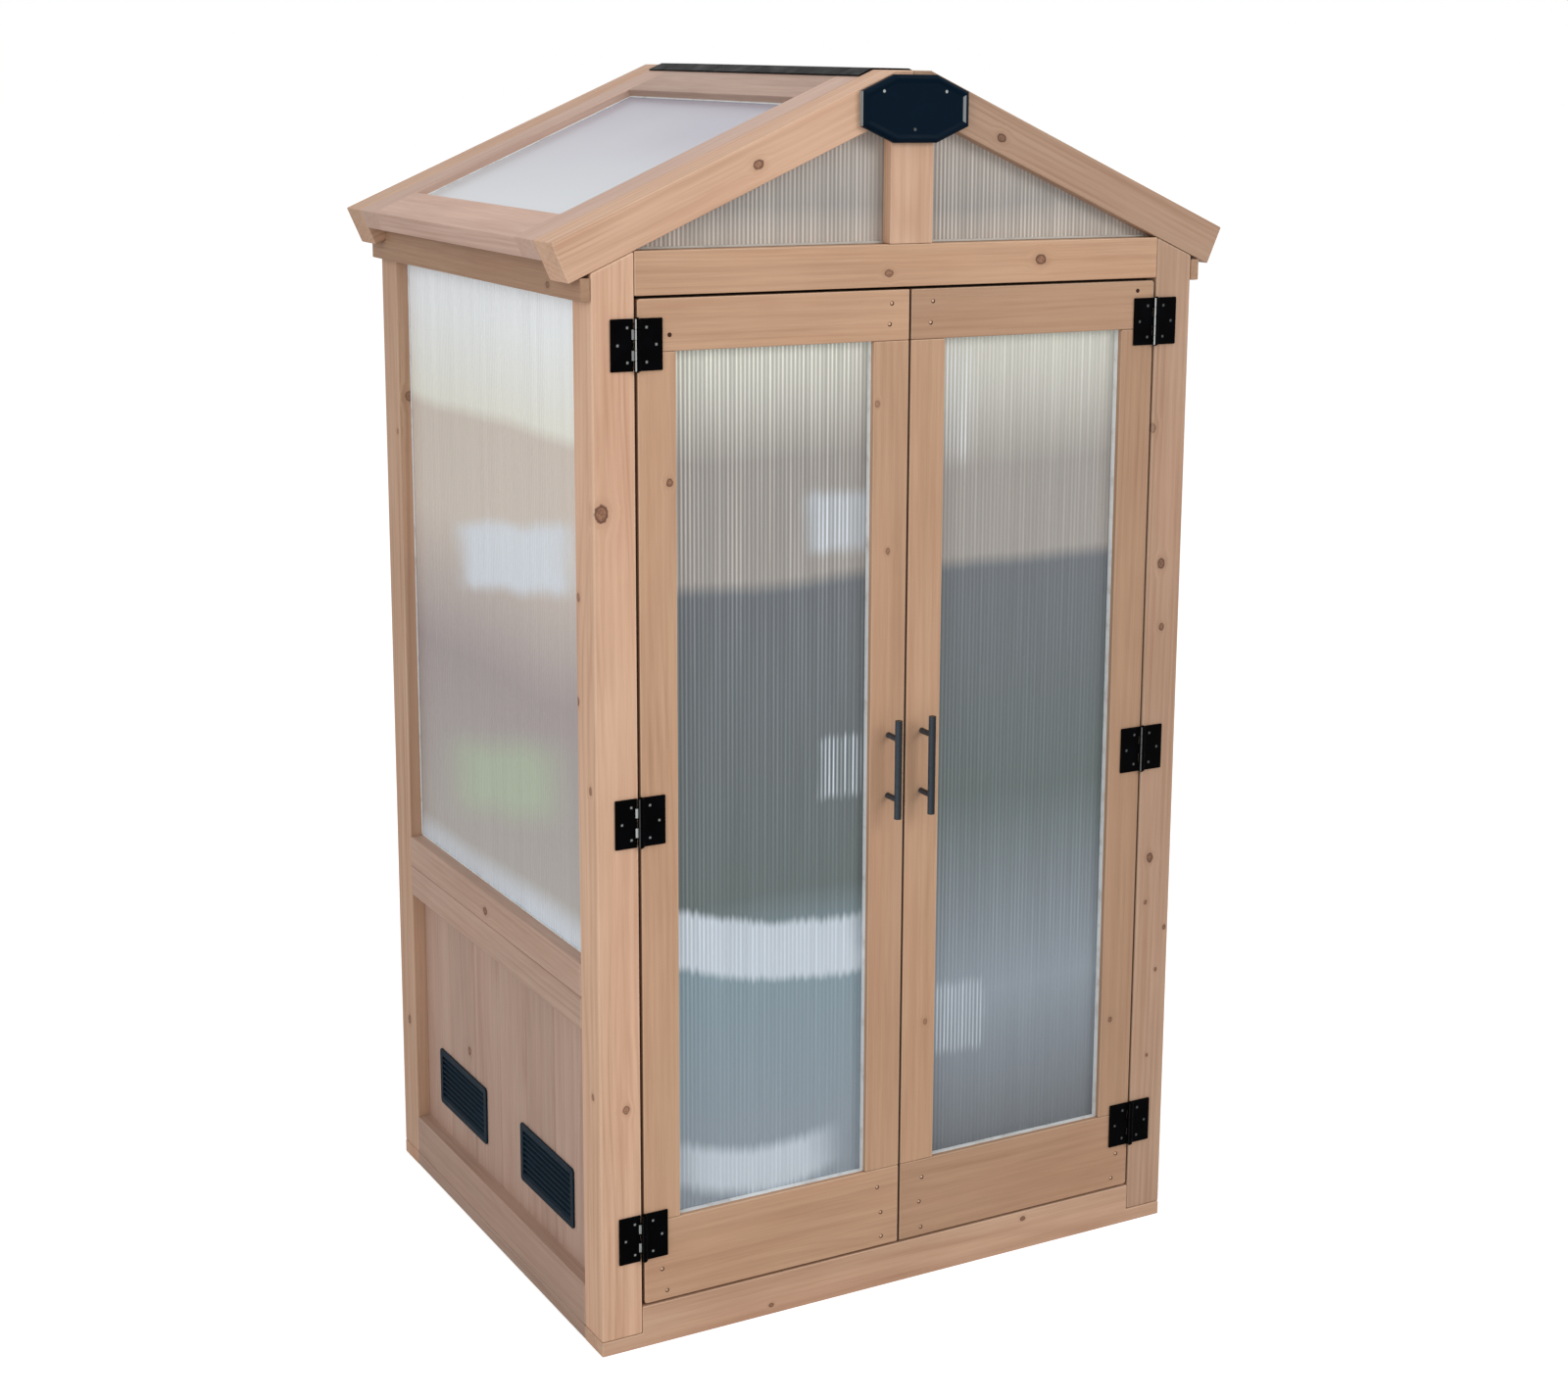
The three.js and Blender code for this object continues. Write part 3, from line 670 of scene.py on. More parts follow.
def knot_group() -> NodeTree:
    """One knot: bends the grain round it and gives masks of its heart and its dark rim."""
    g = EffectGroup(
        "knot",
        {"Vector": "Grain Centre", "Float": "Radius Turned"},
        {"Vector": "Grain", "Float": "Heart Rim Halo"},
    )
    grain, radius, turned = g.take("Grain Radius Turned")
    along, wide, deep = g.split(g.vector("SUBTRACT", grain, g.given["Centre"]))
    swap = deep - wide
    across = swap * turned + wide
    depth = swap * (turned * -1.0) + deep
    uneven = g.noise(grain, 160, 1) * 0.5 + 0.75
    away = g.vector("LENGTH", g.join(along * 0.78, across, depth * 0.6)) * uneven / radius
    near = g.math("ABSOLUTE", depth).over((0.016, 0.022), (1.0, 0.0))
    bend = across * (away.over((0.6, 4.0), (0.85, 0.0), True) * near)
    bent = g.vector("SUBTRACT", grain, g.join(0.0, bend * (1.0 - turned), bend * turned))
    heart = away.over((0.85, 1.0), (1.0, 0.0), True) * near
    rim = away.over((1.0, 1.25), (1.0, 0.0), True) * away.over((0.62, 0.9), (0.0, 1.0), True) * near
    mottle = g.noise(grain, 420, 2).over((0.42, 0.62), (0.0, 0.7))
    halo = away.over((1.0, 2.6), (1.0, 0.0), True) * near
    return g.put_out(Grain=bent, Heart=heart, Rim=g.math("MAXIMUM", rim, heart * mottle), Halo=halo)


def coating_group() -> NodeTree:
    """Moulded or powder-coated skin: fine texture, faint dust and slightly uneven sheen."""
    g = EffectGroup(
        "dark coating",
        {"Vector": "Place", "Color": "Base Dust", "Float": "Scale Amount"},
        {"Color": "Color", "Float": "Roughness Height"},
    )
    place, scale, amount = g.take("Place Scale Amount")
    fine = g.noise(place, scale, 3)
    broad = g.noise(place, 38, 3)
    dust = broad.over((0.45, 0.75), (0.0, 1.0), True) * amount
    specks = fine.over((0.58, 0.72), (0.0, 1.0)) * amount
    colour = g.mix(g.math("ADD", dust, specks * 0.7, clamp=True), g.given["Base"], g.given["Dust"])
    rough = (broad + fine * 0.4).over((0.4, 1.0), (0.30, 0.52))
    return g.put_out(Color=colour, Roughness=rough, Height=fine)


def rib_group() -> NodeTree:
    """Ribs of a clear sheet: an even wave, and crests whose painted highlight differs from rib to rib."""
    g = EffectGroup("ribs", {"Float": "Across Along"}, {"Float": "Wave Crest Stray"})
    across, along = g.take("Across Along")
    turns = across / RIB_PITCH
    wave = g.math("SINE", turns * (2 * math.pi))
    own = g.noise(g.join(turns * 0.9, along * 2.4, 0.0), detail=1).over((0.36, 0.64), (0.45, 1.25))
    stray = g.noise(g.join(turns, 0.0, 5.0), detail=1) - 0.5
    return g.put_out(Wave=wave, Crest=(wave * 0.5 + 0.5) ** 1.4 * own, Stray=stray)


def sheet_group() -> NodeTree:
    """Ribbed clear sheet: painted highlights on the crests over painted shade in the hollows, and broad uneven
    streaks along them.
    """
    g = EffectGroup(
        "ribbed sheet",
        {"Float": "Across Along Crest Contrast Drift", "Color": "Base"},
        {"Color": "Color", "Float": "Roughness"},
    )
    across, along, crest, contrast = g.take("Across Along Crest Contrast")
    drift = (g.noise(g.join(across * 46, along * 1.1, 3.0), detail=2) - 0.5) * g.given["Drift"]
    lift = (crest - 0.37) * contrast * 2.0 + drift
    rough = drift.over((-0.024, 0.024), (0.20, 0.34))
    return g.put_out(Color=g.scaled(g.given["Base"], lift + 1.0), Roughness=rough)


def glow_group() -> NodeTree:
    """Soft-edged patch of another tone painted in a sheet, whole or on the crests of its ribs: things seen
    through it, painted glare and painted reflections of the sky.
    """
    g = EffectGroup(
        "soft patch",
        {
            "Float": "Across Along Crest Stray Edge Lean Bow Ribbed Strength",
            "Vector": "Middle Half",
            "Color": "Tint Base",
        },
        {"Color": "Color"},
    )
    across, along, crest, edge, share = g.take("Across Along Crest Edge Strength")
    middle, half = g.split(g.given["Middle"]), g.split(g.given["Half"])
    soft = (g.noise(g.join(across * 9, along * 9, 7.0), detail=2) - 0.5) * 0.5
    sideways = across - middle[0]
    bow = sideways * sideways * g.given["Bow"]
    level = g.given["Stray"] * 0.02 + (sideways * g.given["Lean"] + along - bow)
    for at, centre, reach in ((across, middle[0], half[0]), (level, middle[1], half[1])):
        away = g.math("ABSOLUTE", at - centre) / reach + soft
        share = share * away.over((1.0 - edge, edge + 1.0), (1.0, 0.0), True)
    on_crests = (crest - 1.0) * g.given["Ribbed"] + 1.0
    share = g.math("MULTIPLY", share, on_crests, clamp=True)
    return g.put_out(Color=g.mix(share, g.given["Base"], g.given["Tint"]))


@dataclass(frozen=True)
class Effects:
    """The node groups that the finishes share."""

    softwood: NodeTree = field(default_factory=softwood_group)
    knot: NodeTree = field(default_factory=knot_group)
    coating: NodeTree = field(default_factory=coating_group)
    ribs: NodeTree = field(default_factory=rib_group)
    sheet: NodeTree = field(default_factory=sheet_group)
    glow: NodeTree = field(default_factory=glow_group)


def srgb(*parts: int) -> Colour:
    """Turns a colour as seen on a screen, in parts from 0 to 255, into linear light."""
    shares = (part / 255 for part in parts)
    return tuple(share / 12.92 if share <= 0.04045 else ((share + 0.055) / 1.055) ** 2.4 for share in shares)


class Surface(Graph):
    """The graph of one material, with its shader."""

    def __init__(self, name: str) -> None:
        """Makes an empty material with a shader and an output."""
        self.material = bpy.data.materials.new(name)
        self.material.use_nodes = True
        super().__init__(self.material.node_tree)
        self.shader = self.node("ShaderNodeBsdfPrincipled")
        self.feed(self.node("ShaderNodeOutputMaterial").inputs["Surface"], self.out(self.shader))

    def look(self, colour: Any, roughness: Any, specular: float) -> None:
        """Feeds the shader's colour and gloss."""
        values = {"Base Color": colour, "Roughness": roughness, "Specular IOR Level": specular}
        self.feed_all(self.shader, values)

    def relief(self, height: Wire, strength: float, distance: float) -> Material:
        """Feeds a height to the shader through a Bump node, and returns the finished material."""
        bump = self.node("ShaderNodeBump")
        self.feed_all(bump, {"Strength": strength, "Distance": distance, "Height": height})
        self.feed(self.shader.inputs["Normal"], self.out(bump))
        return self.material


@dataclass(frozen=True)
class Knot:
    """A knot on a board, at a point of the greenhouse."""

    at: tuple[float, float, float]
    radius: float
    dark: float = 0.75
    on_edge: bool = False


@dataclass(frozen=True)
class Softwood:
    """Finish of planed softwood, read from each board's own grain."""

    name: str
    pale: Colour
    deep: Colour
    figure: float
    heart: Colour = srgb(150, 106, 80)
    rim: Colour = srgb(92, 58, 44)
    # paler tint of the painted highlight on eased front edges
    bright: Colour = (0.90, 0.70, 0.52)

    def build(
        self,
        effects: Effects,
        name: str = "",
        knots: Sequence[Knot] = (),
        along: Vector = ALONG_Z,
        across: Vector = ALONG_X,
    ) -> Material:
        """Makes the material, with its knots where it has any.

        Args:
            effects: Shared node groups.
            name: Name of the material, if not the finish's own.
            knots: Knots of the one board that wears it.
            along: Direction of that board's grain.
            across: Direction across its face.

        Returns:
            The material.
        """
        g = Surface(name or self.name)
        grain = g.attribute("grain", "Vector")
        marks = []
        for knot in knots:
            centre = tuple(Vector(knot.at).dot(way) for way in (along, across, along.cross(across)))
            mask = g.group(
                effects.knot, Grain=grain, Centre=centre, Radius=knot.radius, Turned=float(knot.on_edge)
            )
            grain = mask["Grain"]
            marks.append((mask, knot.dark))
        seed = g.attribute("seed")
        wood = g.group(
            effects.softwood, Grain=grain, Seed=seed, Pale=self.pale, Deep=self.deep, Figure=self.figure
        )
        colour = wood["Color"]
        for mask, dark in marks:
            layers = (("Halo", 0.35, self.deep), ("Heart", dark, self.heart), ("Rim", dark, self.rim))
            for part, share, tint in layers:
                colour = g.mix(mask[part] * share, colour, tint)
        # Painted highlight: marked faces are mixed towards the paler tint; the tone then scales the colour,
        # and on some boards it holds painted shade.
        colour = g.mix(g.attribute("worn"), colour, self.bright)
        g.look(g.scaled(colour, g.attribute("tone")), wood["Roughness"], 0.32)
        return g.relief(wood["Height"], 0.25, 0.0004)


@dataclass(frozen=True)
class DarkCoating:
    """Finish of black steel, plastic and painted metal."""

    name: str
    base: Colour
    dust: Colour
    scale: float
    amount: float
    specular: float
    gloss: float = 1.0
    # paler tint of painted highlights, glints and the lit side of a handle
    bright: Colour = srgb(205, 209, 206)

    def build(self, effects: Effects) -> Material:
        """Makes the material."""
        g = Surface(self.name)
        tones = {"Base": self.base, "Dust": self.dust}
        skin = g.group(effects.coating, Place=g.place(), Scale=self.scale, Amount=self.amount, **tones)
        # Painted highlight: marked faces are mixed towards the paler tint.
        colour = g.mix(g.attribute("worn"), skin["Color"], self.bright)
        g.look(colour, skin["Roughness"] / self.gloss, self.specular)
        return g.relief(skin["Height"], 0.12, 0.0003)


@dataclass(frozen=True)
class Patch:
    """Soft patch of another tone in a sheet, by its middle and half sizes."""

    middle: tuple[float, float]
    half: tuple[float, float]
    tint: Colour
    strength: float
    edge: float
    lean: float = 0.0
    bow: float = 0.0
    ribbed: float = 0.0


class Facing(Enum):
    """The axis that a sheet's ribs follow one another along."""

    FRONT = 0
    SIDE = 1


@dataclass(frozen=True)
class RibbedSheet:
    """Finish of a translucent sheet, with the soft tones seen in it from bottom to top, painted into its
    colour together with painted reflections.
    """

    name: str
    height: Range
    tones: tuple[tuple[float, Colour], ...]
    facing: Facing = Facing.FRONT
    # strength of the painted highlights on the crests, low and high
    contrast: Range = (0.1, 0.1)
    contrast_at: Range = (0.40, 0.49)
    patches: tuple[Patch, ...] = ()
    lean: float = 0.0
    relief: float = 0.15
    drift: float = 0.12
    # scales the colour by how much light falls on the sheet: painted light on the side sheets, painted shade
    # on the roof
    gain: float = 1.0

    def build(self, effects: Effects) -> Material:
        """Makes the material."""
        g = Surface(self.name)
        parts = g.split(g.place())
        here = {"Across": parts[self.facing.value], "Along": parts[2]}
        across, along = here.values()
        ribs = g.group(effects.ribs, **here)
        wobble = g.noise(g.join(across * 3.2, along * 2.0, 1.0), detail=1)
        fray = ribs["Stray"] * float(self.relief > 0)
        level = along + (fray * 0.012 + (wobble - 0.5) * 0.04) + across * self.lean
        low, high = self.height
        stops = [((place - low) / (high - low), colour) for place, colour in self.tones]
        colour = g.ramp(level.over((low, high), (0.0, 1.0)), stops)
        for patch in self.patches:
            colour = g.group(
                effects.glow,
                **here,
                Crest=ribs["Crest"],
                Stray=fray,
                Middle=(*patch.middle, 0.0),
                Half=(*patch.half, 0.0),
                Edge=patch.edge,
                Lean=patch.lean,
                Bow=patch.bow,
                Ribbed=patch.ribbed,
                Tint=patch.tint,
                Strength=patch.strength,
                Base=colour,
            )["Color"]
        contrast = along.over(self.contrast_at, self.contrast)
        sheet = g.group(
            effects.sheet, **here, Crest=ribs["Crest"], Contrast=contrast, Drift=self.drift, Base=colour
        )
        g.look(g.scaled(sheet["Color"], self.gain), sheet["Roughness"], 0.4)
        return g.relief(ribs["Wave"], self.relief, 0.0005)


DOOR_WOOD = Softwood("door softwood", srgb(201, 162, 131), srgb(172, 131, 101), 0.45)
FRAME_WOOD = Softwood("frame softwood", srgb(214, 176, 148), srgb(182, 139, 110), 0.85)
SIDE_WOOD = Softwood("side softwood", srgb(196, 165, 146), srgb(164, 131, 112), 0.6)
ROOF_WOOD = Softwood("roof softwood", srgb(204, 173, 156), srgb(176, 143, 126), 0.6)
BOARD_WOOD = Softwood("board softwood", srgb(184, 155, 139), srgb(154, 124, 108), 0.6)

# Tones painted into the sheets: the garden seen through them, painted reflections of the sky, and painted
# glare.
PALE_SKY = srgb(210, 210, 200)
CLOUD = srgb(220, 225, 230)
GLARE = srgb(200, 210, 220)
HAZE = srgb(160, 155, 150)
WARM_HAZE = srgb(190, 180, 170)
MIST = srgb(150, 140, 140)
HEDGE = srgb(110, 115, 120)
SHADE = srgb(100, 110, 110)
WATER = srgb(130, 150, 160)
PAVING = srgb(140, 150, 160)
LEAVES = srgb(160, 180, 150)
LILAC = srgb(180, 175, 190)

LEFT_DOOR_SHEET = RibbedSheet(
    "left door sheet",
    (0.1755, 1.3275),
    (
        (0.18, PAVING), (0.50, WATER), (0.60, SHADE), (1.01, HEDGE),
        (1.03, HAZE), (1.18, HAZE), (1.32, PALE_SKY),
    ),
    contrast=(0.08, 0.34),
    contrast_at=(0.30, 1.10),
    patches=(
        Patch((-0.09, 1.09), (0.05, 0.04), GLARE, 0.7, 0.3, ribbed=0.3),
        Patch((-0.09, 0.76), (0.03, 0.04), GLARE, 0.8, 0.2, ribbed=1.0),
        Patch((-0.21, 0.52), (0.16, 0.04), GLARE, 0.9, 0.2, 0.2, 0.8),
        Patch((-0.22, 0.21), (0.11, 0.03), GLARE, 0.8, 0.4, 0.1, 1.6),
    ),
)
RIGHT_DOOR_SHEET = RibbedSheet(
    "right door sheet",
    (0.1755, 1.3275),
    (
        (0.18, HEDGE), (0.40, PAVING), (0.70, SHADE), (1.01, HEDGE),
        (1.03, HAZE), (1.15, HAZE), (1.32, PALE_SKY),
    ),
    contrast=(0.06, 0.15),
    patches=(
        Patch((0.08, 1.24), (0.03, 0.08), CLOUD, 0.6, 0.3, ribbed=1.0),
        Patch((0.10, 0.37), (0.04, 0.05), GLARE, 0.8, 0.2, ribbed=1.0),
    ),
)
SIDE_SHEET = RibbedSheet(
    "side sheet",
    (0.528, 1.397),
    (
        (0.53, GLARE), (0.58, HAZE), (0.85, MIST), (1.05, WARM_HAZE),
        (1.19, WARM_HAZE), (1.21, PALE_SKY), (1.39, CLOUD),
    ),
    Facing.SIDE,
    contrast=(0.04, 0.04),
    lean=0.02,
    relief=0.1,
    gain=1.25,
    patches=(
        Patch((-0.05, 1.02), (0.20, 0.045), GLARE, 0.75, 0.3, 0.16),
        Patch((0.00, 0.70), (0.18, 0.05), LEAVES, 0.6, 0.6, 0.2),
    ),
)
ROOF_SHEET = RibbedSheet(
    "roof sheet",
    (1.47, 1.63),
    ((1.48, CLOUD), (1.63, LILAC)),
    Facing.SIDE,
    contrast=(0.0, 0.0),
    relief=0.0,
    drift=0.0,
    gain=0.82,
    patches=(Patch((-0.16, 1.60), (0.14, 0.035), LILAC, 0.7, 0.7),),
)
GABLE_SHEET = RibbedSheet(
    "gable sheet",
    (1.45, 1.64),
    ((1.45, WARM_HAZE), (1.50, HAZE), (1.64, WARM_HAZE)),
    contrast=(0.30, 0.30),
)
STEEL = DarkCoating("black steel", srgb(1, 1, 2), srgb(8, 11, 15), 1400, 0.2, 0.025)
HANDLE_STEEL = DarkCoating(
    "handle steel", srgb(6, 9, 13), srgb(20, 28, 38), 1800, 0.2, 0.3, 1.5, srgb(96, 112, 126)
)
SCREW_STEEL = DarkCoating("screw steel", srgb(14, 15, 17), srgb(40, 42, 46), 1200, 0.5, 0.1)
VENT_PLASTIC = DarkCoating("vent plastic", srgb(14, 32, 44), srgb(28, 50, 64), 700, 0.3, 0.05)
STRIP_RUBBER = DarkCoating("ridge strip", srgb(1, 1, 2), srgb(48, 50, 54), 1500, 0.05, 0.02)
PLATE_PAINT = DarkCoating(
    "plate paint", srgb(3, 20, 34), srgb(6, 24, 38), 1300, 0.3, 0.03, bright=srgb(160, 166, 166)
)
WHITE_TRIM = DarkCoating("glazing trim", srgb(224, 226, 226), srgb(192, 188, 184), 90, 0.7, 0.4)
GREY_TRIM = DarkCoating("gable trim", srgb(186, 183, 176), srgb(160, 156, 150), 300, 0.5, 0.3)
PUTTY = DarkCoating("pin putty", srgb(212, 174, 146), srgb(150, 108, 82), 800, 0.5, 0.2)
NAIL = DarkCoating("nail", srgb(56, 32, 22), srgb(84, 54, 40), 900, 0.4, 0.1)


# Sub-assemblies


@dataclass
class Board:
    """How one board is named, grained and toned."""

    name: str
    along: Vector
    across: Vector
    seed: float
    tone: float = 1.0
    knots: tuple[Knot, ...] = ()


Finish = Softwood | DarkCoating | RibbedSheet


class Finishes:
    """Makes each material once and hands it out by its finish."""

    def __init__(self) -> None:
        """Builds the shared node groups."""
        self.effects = Effects()
        self.made: dict[str, Material] = {}

    def of(self, finish: Finish, board: Board | None = None) -> Material:
        """Returns the material of a finish, or one of a board's own where it has knots."""
        if board and board.knots:
            name = f"{board.name} with knots"
            return finish.build(self.effects, name, board.knots, board.along, board.across)
        if finish.name not in self.made:
            self.made[finish.name] = finish.build(self.effects)
        return self.made[finish.name]


def front_knots(*rows: tuple[float, float, float, float]) -> tuple[Knot, ...]:
    """Places knots on the front, by X, Z, radius and darkness."""
    return tuple(Knot((x, Layout.front, z), radius, dark) for x, z, radius, dark in rows)


def outer_knots(*rows: tuple[float, float, float, float]) -> tuple[Knot, ...]:
    """Places knots on the outer face of a left post, by Y, Z, radius and darkness."""
    return tuple(Knot((-Layout.half_width, y, z), radius, dark, True) for y, z, radius, dark in rows)


@dataclass
class Builder:
    """What the sub-assemblies share: where their pieces go and what these wear."""

    layout: Layout
    finishes: Finishes

    def dress(
        self, piece: Object, finish: Finish, slot: Slot, node: str = "", body: str = "cabinet",
        board: Board | None = None,
    ) -> Object:
        """Fits a piece in its finish, in place of a node where one is named."""
        return fit(piece, self.finishes.of(finish, board), slot, body, [node] if node else [])

    def finish(
        self, piece: Object, board: Board, wood: Softwood, body: str = "cabinet", eased: float = 0.0014
    ) -> Object:
        """Eases a board, lays its grain and fits it in place of its node.

        Args:
            piece: Shaped board.
            board: Its name, grain, tone and knots.
            wood: Its finish.
            body: Body that it rides on.
            eased: Width that its edges are eased by.

        Returns:
            The finished board.
        """
        ease(piece, eased)
        # Painted highlight on the eased edges that face the front.
        wear(piece, lambda c, n: 0.2 * (n.y < -0.35 and (abs(n.x) > 0.35 or n.z > 0.35)))
        lay_grain(piece, board.along, board.across, board.seed, board.tone)
        return self.dress(piece, wood, Slot.TIMBER, board.name, body, board)

    def build_trim(
        self, name: str, strips: Sequence[tuple[Range, Range]], shape: Callable[[Range, Range], Object],
        eased: float, body: str = "cabinet",
    ) -> None:
        """Builds the thin pale trim round a pane.

        Args:
            name: Name of the trim.
            strips: Ranges of the strips in the plane of the pane.
            shape: Makes a strip of its two ranges.
            eased: Width that its edges are eased by.
            body: Body that it rides on.
        """
        parts = [ease(shape(wide, tall), eased, 1) for wide, tall in strips]
        self.dress(combine(name, parts), WHITE_TRIM, Slot.GLAZING, body=body)


@dataclass
class Carcass(Builder):
    """Posts, sills, lintel, king post and side rails."""

    rail_depth: float = 0.04
    stop_face: float = 0.0365
    stop_height: float = 0.012
    king_width: float = 0.064
    king_depth: float = 0.0197
    post_ease: float = 0.0026
    rail_ease: float = 0.0022
    bottom_rail: Range = (0.0203, 0.079)
    mid_rails: tuple[Range, Range] = ((0.437, 0.48235), (0.48265, 0.528))
    post_knots: dict[str, tuple[Knot, ...]] = field(
        default_factory=lambda: {
            "front_left_post": front_knots((-0.439, 1.130, 0.0082, 0.9), (-0.413, 0.341, 0.0042, 0.7))
            + outer_knots(
                (-0.3445, 0.772, 0.004, 0.7),
                (-0.3135, 1.017, 0.004, 0.7),
                (-0.3405, 0.358, 0.0035, 0.7),
                (-0.308, 0.881, 0.004, 0.9),
            ),
            "front_right_post": front_knots(
                (0.416, 0.994, 0.0055, 0.85),
                (0.420, 0.902, 0.004, 0.75),
                (0.413, 0.561, 0.005, 0.85),
                (0.394, 1.188, 0.005, 0.5),
                (0.408, 0.494, 0.0025, 0.8),
                (0.4426, 0.451, 0.0028, 0.8),
                (0.430, 0.388, 0.0022, 0.8),
                (0.4195, 0.257, 0.0020, 0.8),
            ),
            "back_left_post": (Knot((-0.4334, 0.3375, 1.194), 0.0055, 0.6),)
            + outer_knots((0.345, 1.142, 0.003, 0.6), (0.3615, 0.229, 0.005, 0.7)),
        }
    )

    def build(self) -> None:
        """Builds every piece of the carcass."""
        for side in Side:
            # The right front post gets a lower tone than the left one: painted shade.
            self.build_post(side, "front", 1.0 if side is Side.LEFT else 0.68)
            self.build_post(side, "back", 0.80)
            self.build_side(side)
        knots = front_knots((-0.2, 0.0135, 0.003, 0.75), (0.208, 0.047, 0.003, 0.9))
        self.build_sill("front", 4.2, 0.82, knots)
        self.build_sill("back", 5.9, 0.8)
        self.build_lintel()
        self.build_king_post()

    def build_post(self, side: Side, place: str, tone: float) -> None:
        """Builds one corner post, its top sawn along the roof slope."""
        layout = self.layout
        name = f"{place}_{side.label}_post"
        x = side.span(layout.doorway_half, layout.half_width)
        foot = layout.base_height + layout.seat_gap
        post = block(f"{name}_piece", x, layout.post_rows[place], (foot, layout.lintel_top))
        corner = Vector((side.value * layout.doorway_half, 0, layout.seat_line(layout.doorway_half)))
        saw(post, corner, layout.off_slope(side))
        seed = 4.1 if name == "front_right_post" else 1.3 + 2.1 * side.value
        board = Board(name, ALONG_Z, ALONG_X, seed, tone, self.post_knots.get(name, ()))
        self.finish(post, board, FRAME_WOOD, eased=self.post_ease)

    def build_sill(self, place: str, seed: float, tone: float, knots: tuple[Knot, ...] = ()) -> None:
        """Builds a sill: low ends, a taller middle and, at the front, the stop behind the doors."""
        layout = self.layout
        edge = layout.doorway_edge
        x, z = (-layout.half_width, layout.half_width), (0, layout.base_height)
        sill = block(f"{place}_sill_piece", x, layout.post_rows[place], z)
        score(sill, ALONG_X, -edge, edge)
        rise = layout.sill_height - layout.base_height
        draw_out(sill, lambda c, n: n.z > SQUARELY and abs(c.x) < edge, ALONG_Z * rise)
        if place == "front":
            stop, high = layout.front + self.stop_face, layout.sill_height - 0.001
            score(sill, ALONG_Y, stop)
            draw_out(
                sill,
                lambda c, n: n.z > SQUARELY and c.y > stop and c.z > high,
                ALONG_Z * self.stop_height,
            )
        self.finish(sill, Board(f"{place}_sill", ALONG_X, ALONG_Z, seed, tone, knots), FRAME_WOOD)

    def build_lintel(self) -> None:
        """Builds the lintel over the doors, with the stop hanging behind them."""
        layout = self.layout
        x, z = (-layout.doorway_edge, layout.doorway_edge), (layout.doorway_top, layout.lintel_top)
        lintel = block("door_lintel_piece", x, layout.post_rows["front"], z)
        stop = layout.front + self.stop_face
        score(lintel, ALONG_Y, stop)
        draw_out(lintel, lambda c, n: n.z < -SQUARELY and c.y > stop, ALONG_Z * -self.stop_height)
        knots = front_knots((0.201, 1.427, 0.006, 0.9), (-0.033, 1.415, 0.0045, 0.75))
        self.finish(lintel, Board("door_lintel", ALONG_X, ALONG_Z, 7.7, 0.93, knots), DOOR_WOOD)
        # Painted shade on the lintel's underside and the stop, over the doors' top gap.
        shade(lintel, 0.25, lambda p: p.z < layout.doorway_top + 0.0002)

    def build_king_post(self) -> None:
        """Builds the post in the middle of the gable, its top sawn along both slopes."""
        layout = self.layout
        half, top = self.king_width / 2, layout.seat_line(0)
        y = (layout.front, layout.front + self.king_depth)
        king = block("king_post_piece", (-half, half), y, (layout.lintel_top + layout.seat_gap, top))
        for side in Side:
            saw(king, Vector((0, 0, top)), layout.off_slope(side))
        self.finish(king, Board("king_post", ALONG_Z, ALONG_X, 3.3, 0.9), FRAME_WOOD)

    def build_side(self, side: Side) -> None:
        """Builds the base strip and the rails of one side."""
        layout = self.layout
        strip_x = side.span(layout.doorway_half, layout.half_width)
        rail_x = side.span(layout.half_width - self.rail_depth, layout.half_width)
        mid_knots = (Knot((-0.45, 0.0325, 0.501), 0.005, 0.9),) if side is Side.LEFT else ()
        rows = (
            ("base_strip", strip_x, (0.0, layout.base_height), 0.70, ()),
            ("bottom_rail", rail_x, self.bottom_rail, 0.74, ()),
            ("lower_mid_rail", rail_x, self.mid_rails[0], 0.84, ()),
            ("upper_mid_rail", rail_x, self.mid_rails[1], 0.88, mid_knots),
        )
        for index, (part, x, z, tone, knots) in enumerate(rows):
            name = f"{side.label}_{part}"
            rail = block(f"{name}_piece", x, layout.between_rakes, z)
            board = Board(name, ALONG_Y, ALONG_Z, 2.4 * index + side.value, tone, knots)
            self.finish(rail, board, SIDE_WOOD, eased=self.rail_ease)


